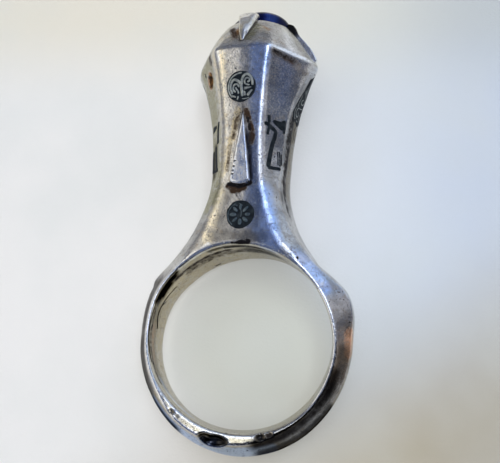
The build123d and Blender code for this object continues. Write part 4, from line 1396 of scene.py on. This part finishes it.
def add_camera():
    yaw, pitch, roll = CAMERA_YAW, CAMERA_PITCH, CAMERA_ROLL
    ahead = np.array([np.sin(yaw) * np.cos(pitch), np.cos(yaw) * np.cos(pitch), np.sin(pitch)])
    level = np.array([np.cos(yaw), -np.sin(yaw), 0])
    down = np.cross(ahead, level)
    right = level * np.cos(roll) + down * np.sin(roll)
    down = down * np.cos(roll) - level * np.sin(roll)
    place = np.array(CAMERA_PLACE)
    spot, *tips = lay_down([place, place + right, place - down, place - ahead])
    columns = [Vector(tip - spot).normalized() for tip in tips]
    data = bpy.data.cameras.new("camera")
    data.sensor_width = 36
    data.lens = LENS_PIXELS * data.sensor_width / PICTURE_WIDTH
    data.clip_start = 0.001
    camera = placed("camera", data)
    camera.matrix_world = Matrix.Translation(Vector(spot)) @ Matrix(columns).transposed().to_4x4()
    bpy.context.scene.camera = camera


# Soft windows of light far off, as the ring's silver shows them. x and y are the parts of their
# direction to the right and up the tower, from low to high, with how softly each edge fades.
WINDOWS = table("x y soft color strength", [
    ((-0.88, -0.55), (-0.45, 0.45), 0.16, (1.00, 0.95, 0.80), 1.30),
    ((0.12, 0.35), (-0.25, 0.36), 0.05, (0.86, 0.93, 1.00), 3.00),
    ((-0.14, 0.54), (-0.25, 0.42), 0.14, (0.52, 0.62, 1.00), 0.45),
    ((0.74, 1.05), (0.36, 0.66), 0.10, (0.85, 0.93, 1.00), 0.55),
    ((0.20, 0.66), (0.36, 0.66), 0.12, (0.48, 0.68, 1.00), 0.80),
    ((0.55, 0.86), (-0.10, 0.40), 0.08, (1.00, 1.00, 1.02), 0.50),
    ((0.40, 0.90), (0.55, 1.10), 0.15, (0.88, 0.95, 1.00), 0.42),
    ((0.91, 1.10), (-0.50, -0.10), 0.08, (1.00, 0.82, 0.66), 0.65),
    ((-0.80, 0.30), (0.70, 1.10), 0.15, (1.00, 0.95, 0.72), 0.16),
])
ROOM = (0.10, 0.125, 0.20, 1)
ROOM_DARK = (0.012, 0.012, 0.014, 1)
DARK_SIDE = {"x": (0.20, 1.20), "y": (-1.20, -0.16), "soft": 0.12}
BACKDROP = (0.72, 0.75, 0.78, 1)
LIGHT_HEIGHT = 0.9
FILL_POWER = 3.35
LAMP_POWER = 2.4


def in_window(n, x, y, window):
    """1 where a direction lies in a window and a soft fall to 0 at its edges."""
    share, soft = 1.0, window["soft"]
    for part, (low, high) in ((x, window["x"]), (y, window["y"])):
        share = n.times(share, n.rise(part, low - soft, low + soft))
        share = n.times(share, n.rise(part, high - soft, high + soft, 1.0, 0.0))
    return share


def add_world():
    world = bpy.data.worlds.new("room")
    world.use_nodes = True
    n = Nodes(world.node_tree)
    x, y, _ = n.add("ShaderNodeSeparateXYZ", {0: n.add("ShaderNodeTexCoord").outputs["Generated"]}).outputs
    color = n.blend(in_window(n, x, y, DARK_SIDE), ROOM, ROOM_DARK)
    for window in WINDOWS:
        lit = n.times(in_window(n, x, y, window), window["strength"])
        scaled = n.add("ShaderNodeVectorMath", {0: window["color"], 3: lit}, operation="SCALE").outputs[0]
        color = n.add("ShaderNodeVectorMath", {0: color, 1: scaled}, operation="ADD").outputs[0]
    seen = n.add("ShaderNodeLightPath").outputs["Is Camera Ray"]
    color = n.blend(seen, color, BACKDROP)
    n.join(color, world.node_tree.nodes["Background"].inputs["Color"])
    bpy.context.scene.world = world


def add_soft_light(name, power, shadow):
    """A wide light straight above that isn't mirrored in the silver."""
    lamp = bpy.data.lights.new(name, "AREA")
    lamp.shape, lamp.size, lamp.energy, lamp.color = "DISK", 0.8, power, (1.0, 0.985, 0.95)
    lamp.use_shadow = shadow
    light = placed(name, lamp)
    light.location = (0, 0, LIGHT_HEIGHT)
    light.visible_glossy = False


def paper():
    """Pale paper with painted light and shade: warmer on the left, bluer and darker to the right, a painted
    brownish shade below the hoop and a painted shadow in and around the hoop.
    """
    made, n = new_material("paper")
    where = n.places()
    x, y, _ = n.add("ShaderNodeSeparateXYZ", {0: where}).outputs
    # Painted light: warmer on the left, bluer and darker to the right
    right = n.rise(n.plus(x, n.times(y, -0.15)), -14, 28)
    from_bore = n.add("ShaderNodeVectorMath", {0: where, 1: tuple(BORE_PLACE / MM)}, operation="DISTANCE")
    from_bore = from_bore.outputs["Value"]
    # Painted brownish shade below the hoop, fading out far from the bore
    low = n.rise(n.minus(n.times(x, 0.6), y), 12, 36)
    low = n.times(low, n.rise(from_bore, 42, 66, 1, 0))
    color = n.blend(right, (0.85, 0.83, 0.79, 1), (0.68, 0.75, 0.82, 1))
    color = n.blend(low, color, (0.48, 0.43, 0.32, 1))
    # Painted shade: warmer and darker as y grows, and darker again further right
    color = n.blend(n.rise(y, 16, 32), color, (0.92, 0.89, 0.79, 1), "MULTIPLY")
    color = n.blend(n.rise(x, 10, 28, 0, 0.9), color, (0.84, 0.84, 0.88, 1), "MULTIPLY")
    # Painted shadow in and around the hoop
    color = n.blend(n.rise(from_bore, 6, 14, 1, 0), color, (0.82, 0.82, 0.73, 1), "MULTIPLY")
    cloud = n.noise(where, 0.045, 3)
    color = n.blend(n.rise(cloud, 0.35, 0.70, 0.0, 0.35), color, (0.66, 0.69, 0.66, 1))
    near = n.rise(from_bore, 58, 100, 1, 0)
    color = n.blend(near, (0.82, 0.82, 0.80, 1), color)
    n.give("Base Color", color)
    n.give("Roughness", 0.9)
    n.give("Specular IOR Level", 0.1)
    n.give("Normal", n.bump(n.noise(where, 3.0, 4), RELIEF))
    return made


def add_floor():
    half = 0.6
    corners = [(-half, -half, 0), (half, -half, 0), (half, half, 0), (-half, half, 0)]
    mesh = bpy.data.meshes.new("floor")
    mesh.from_pydata(corners, [], [(0, 1, 2, 3)])
    mesh.materials.append(paper())
    floor = placed("floor", mesh)


add_camera()
add_world()
add_soft_light("fill", FILL_POWER, False)
add_soft_light("lamp", LAMP_POWER, True)
add_floor()
bpy.context.scene.view_settings.view_transform = "Standard"
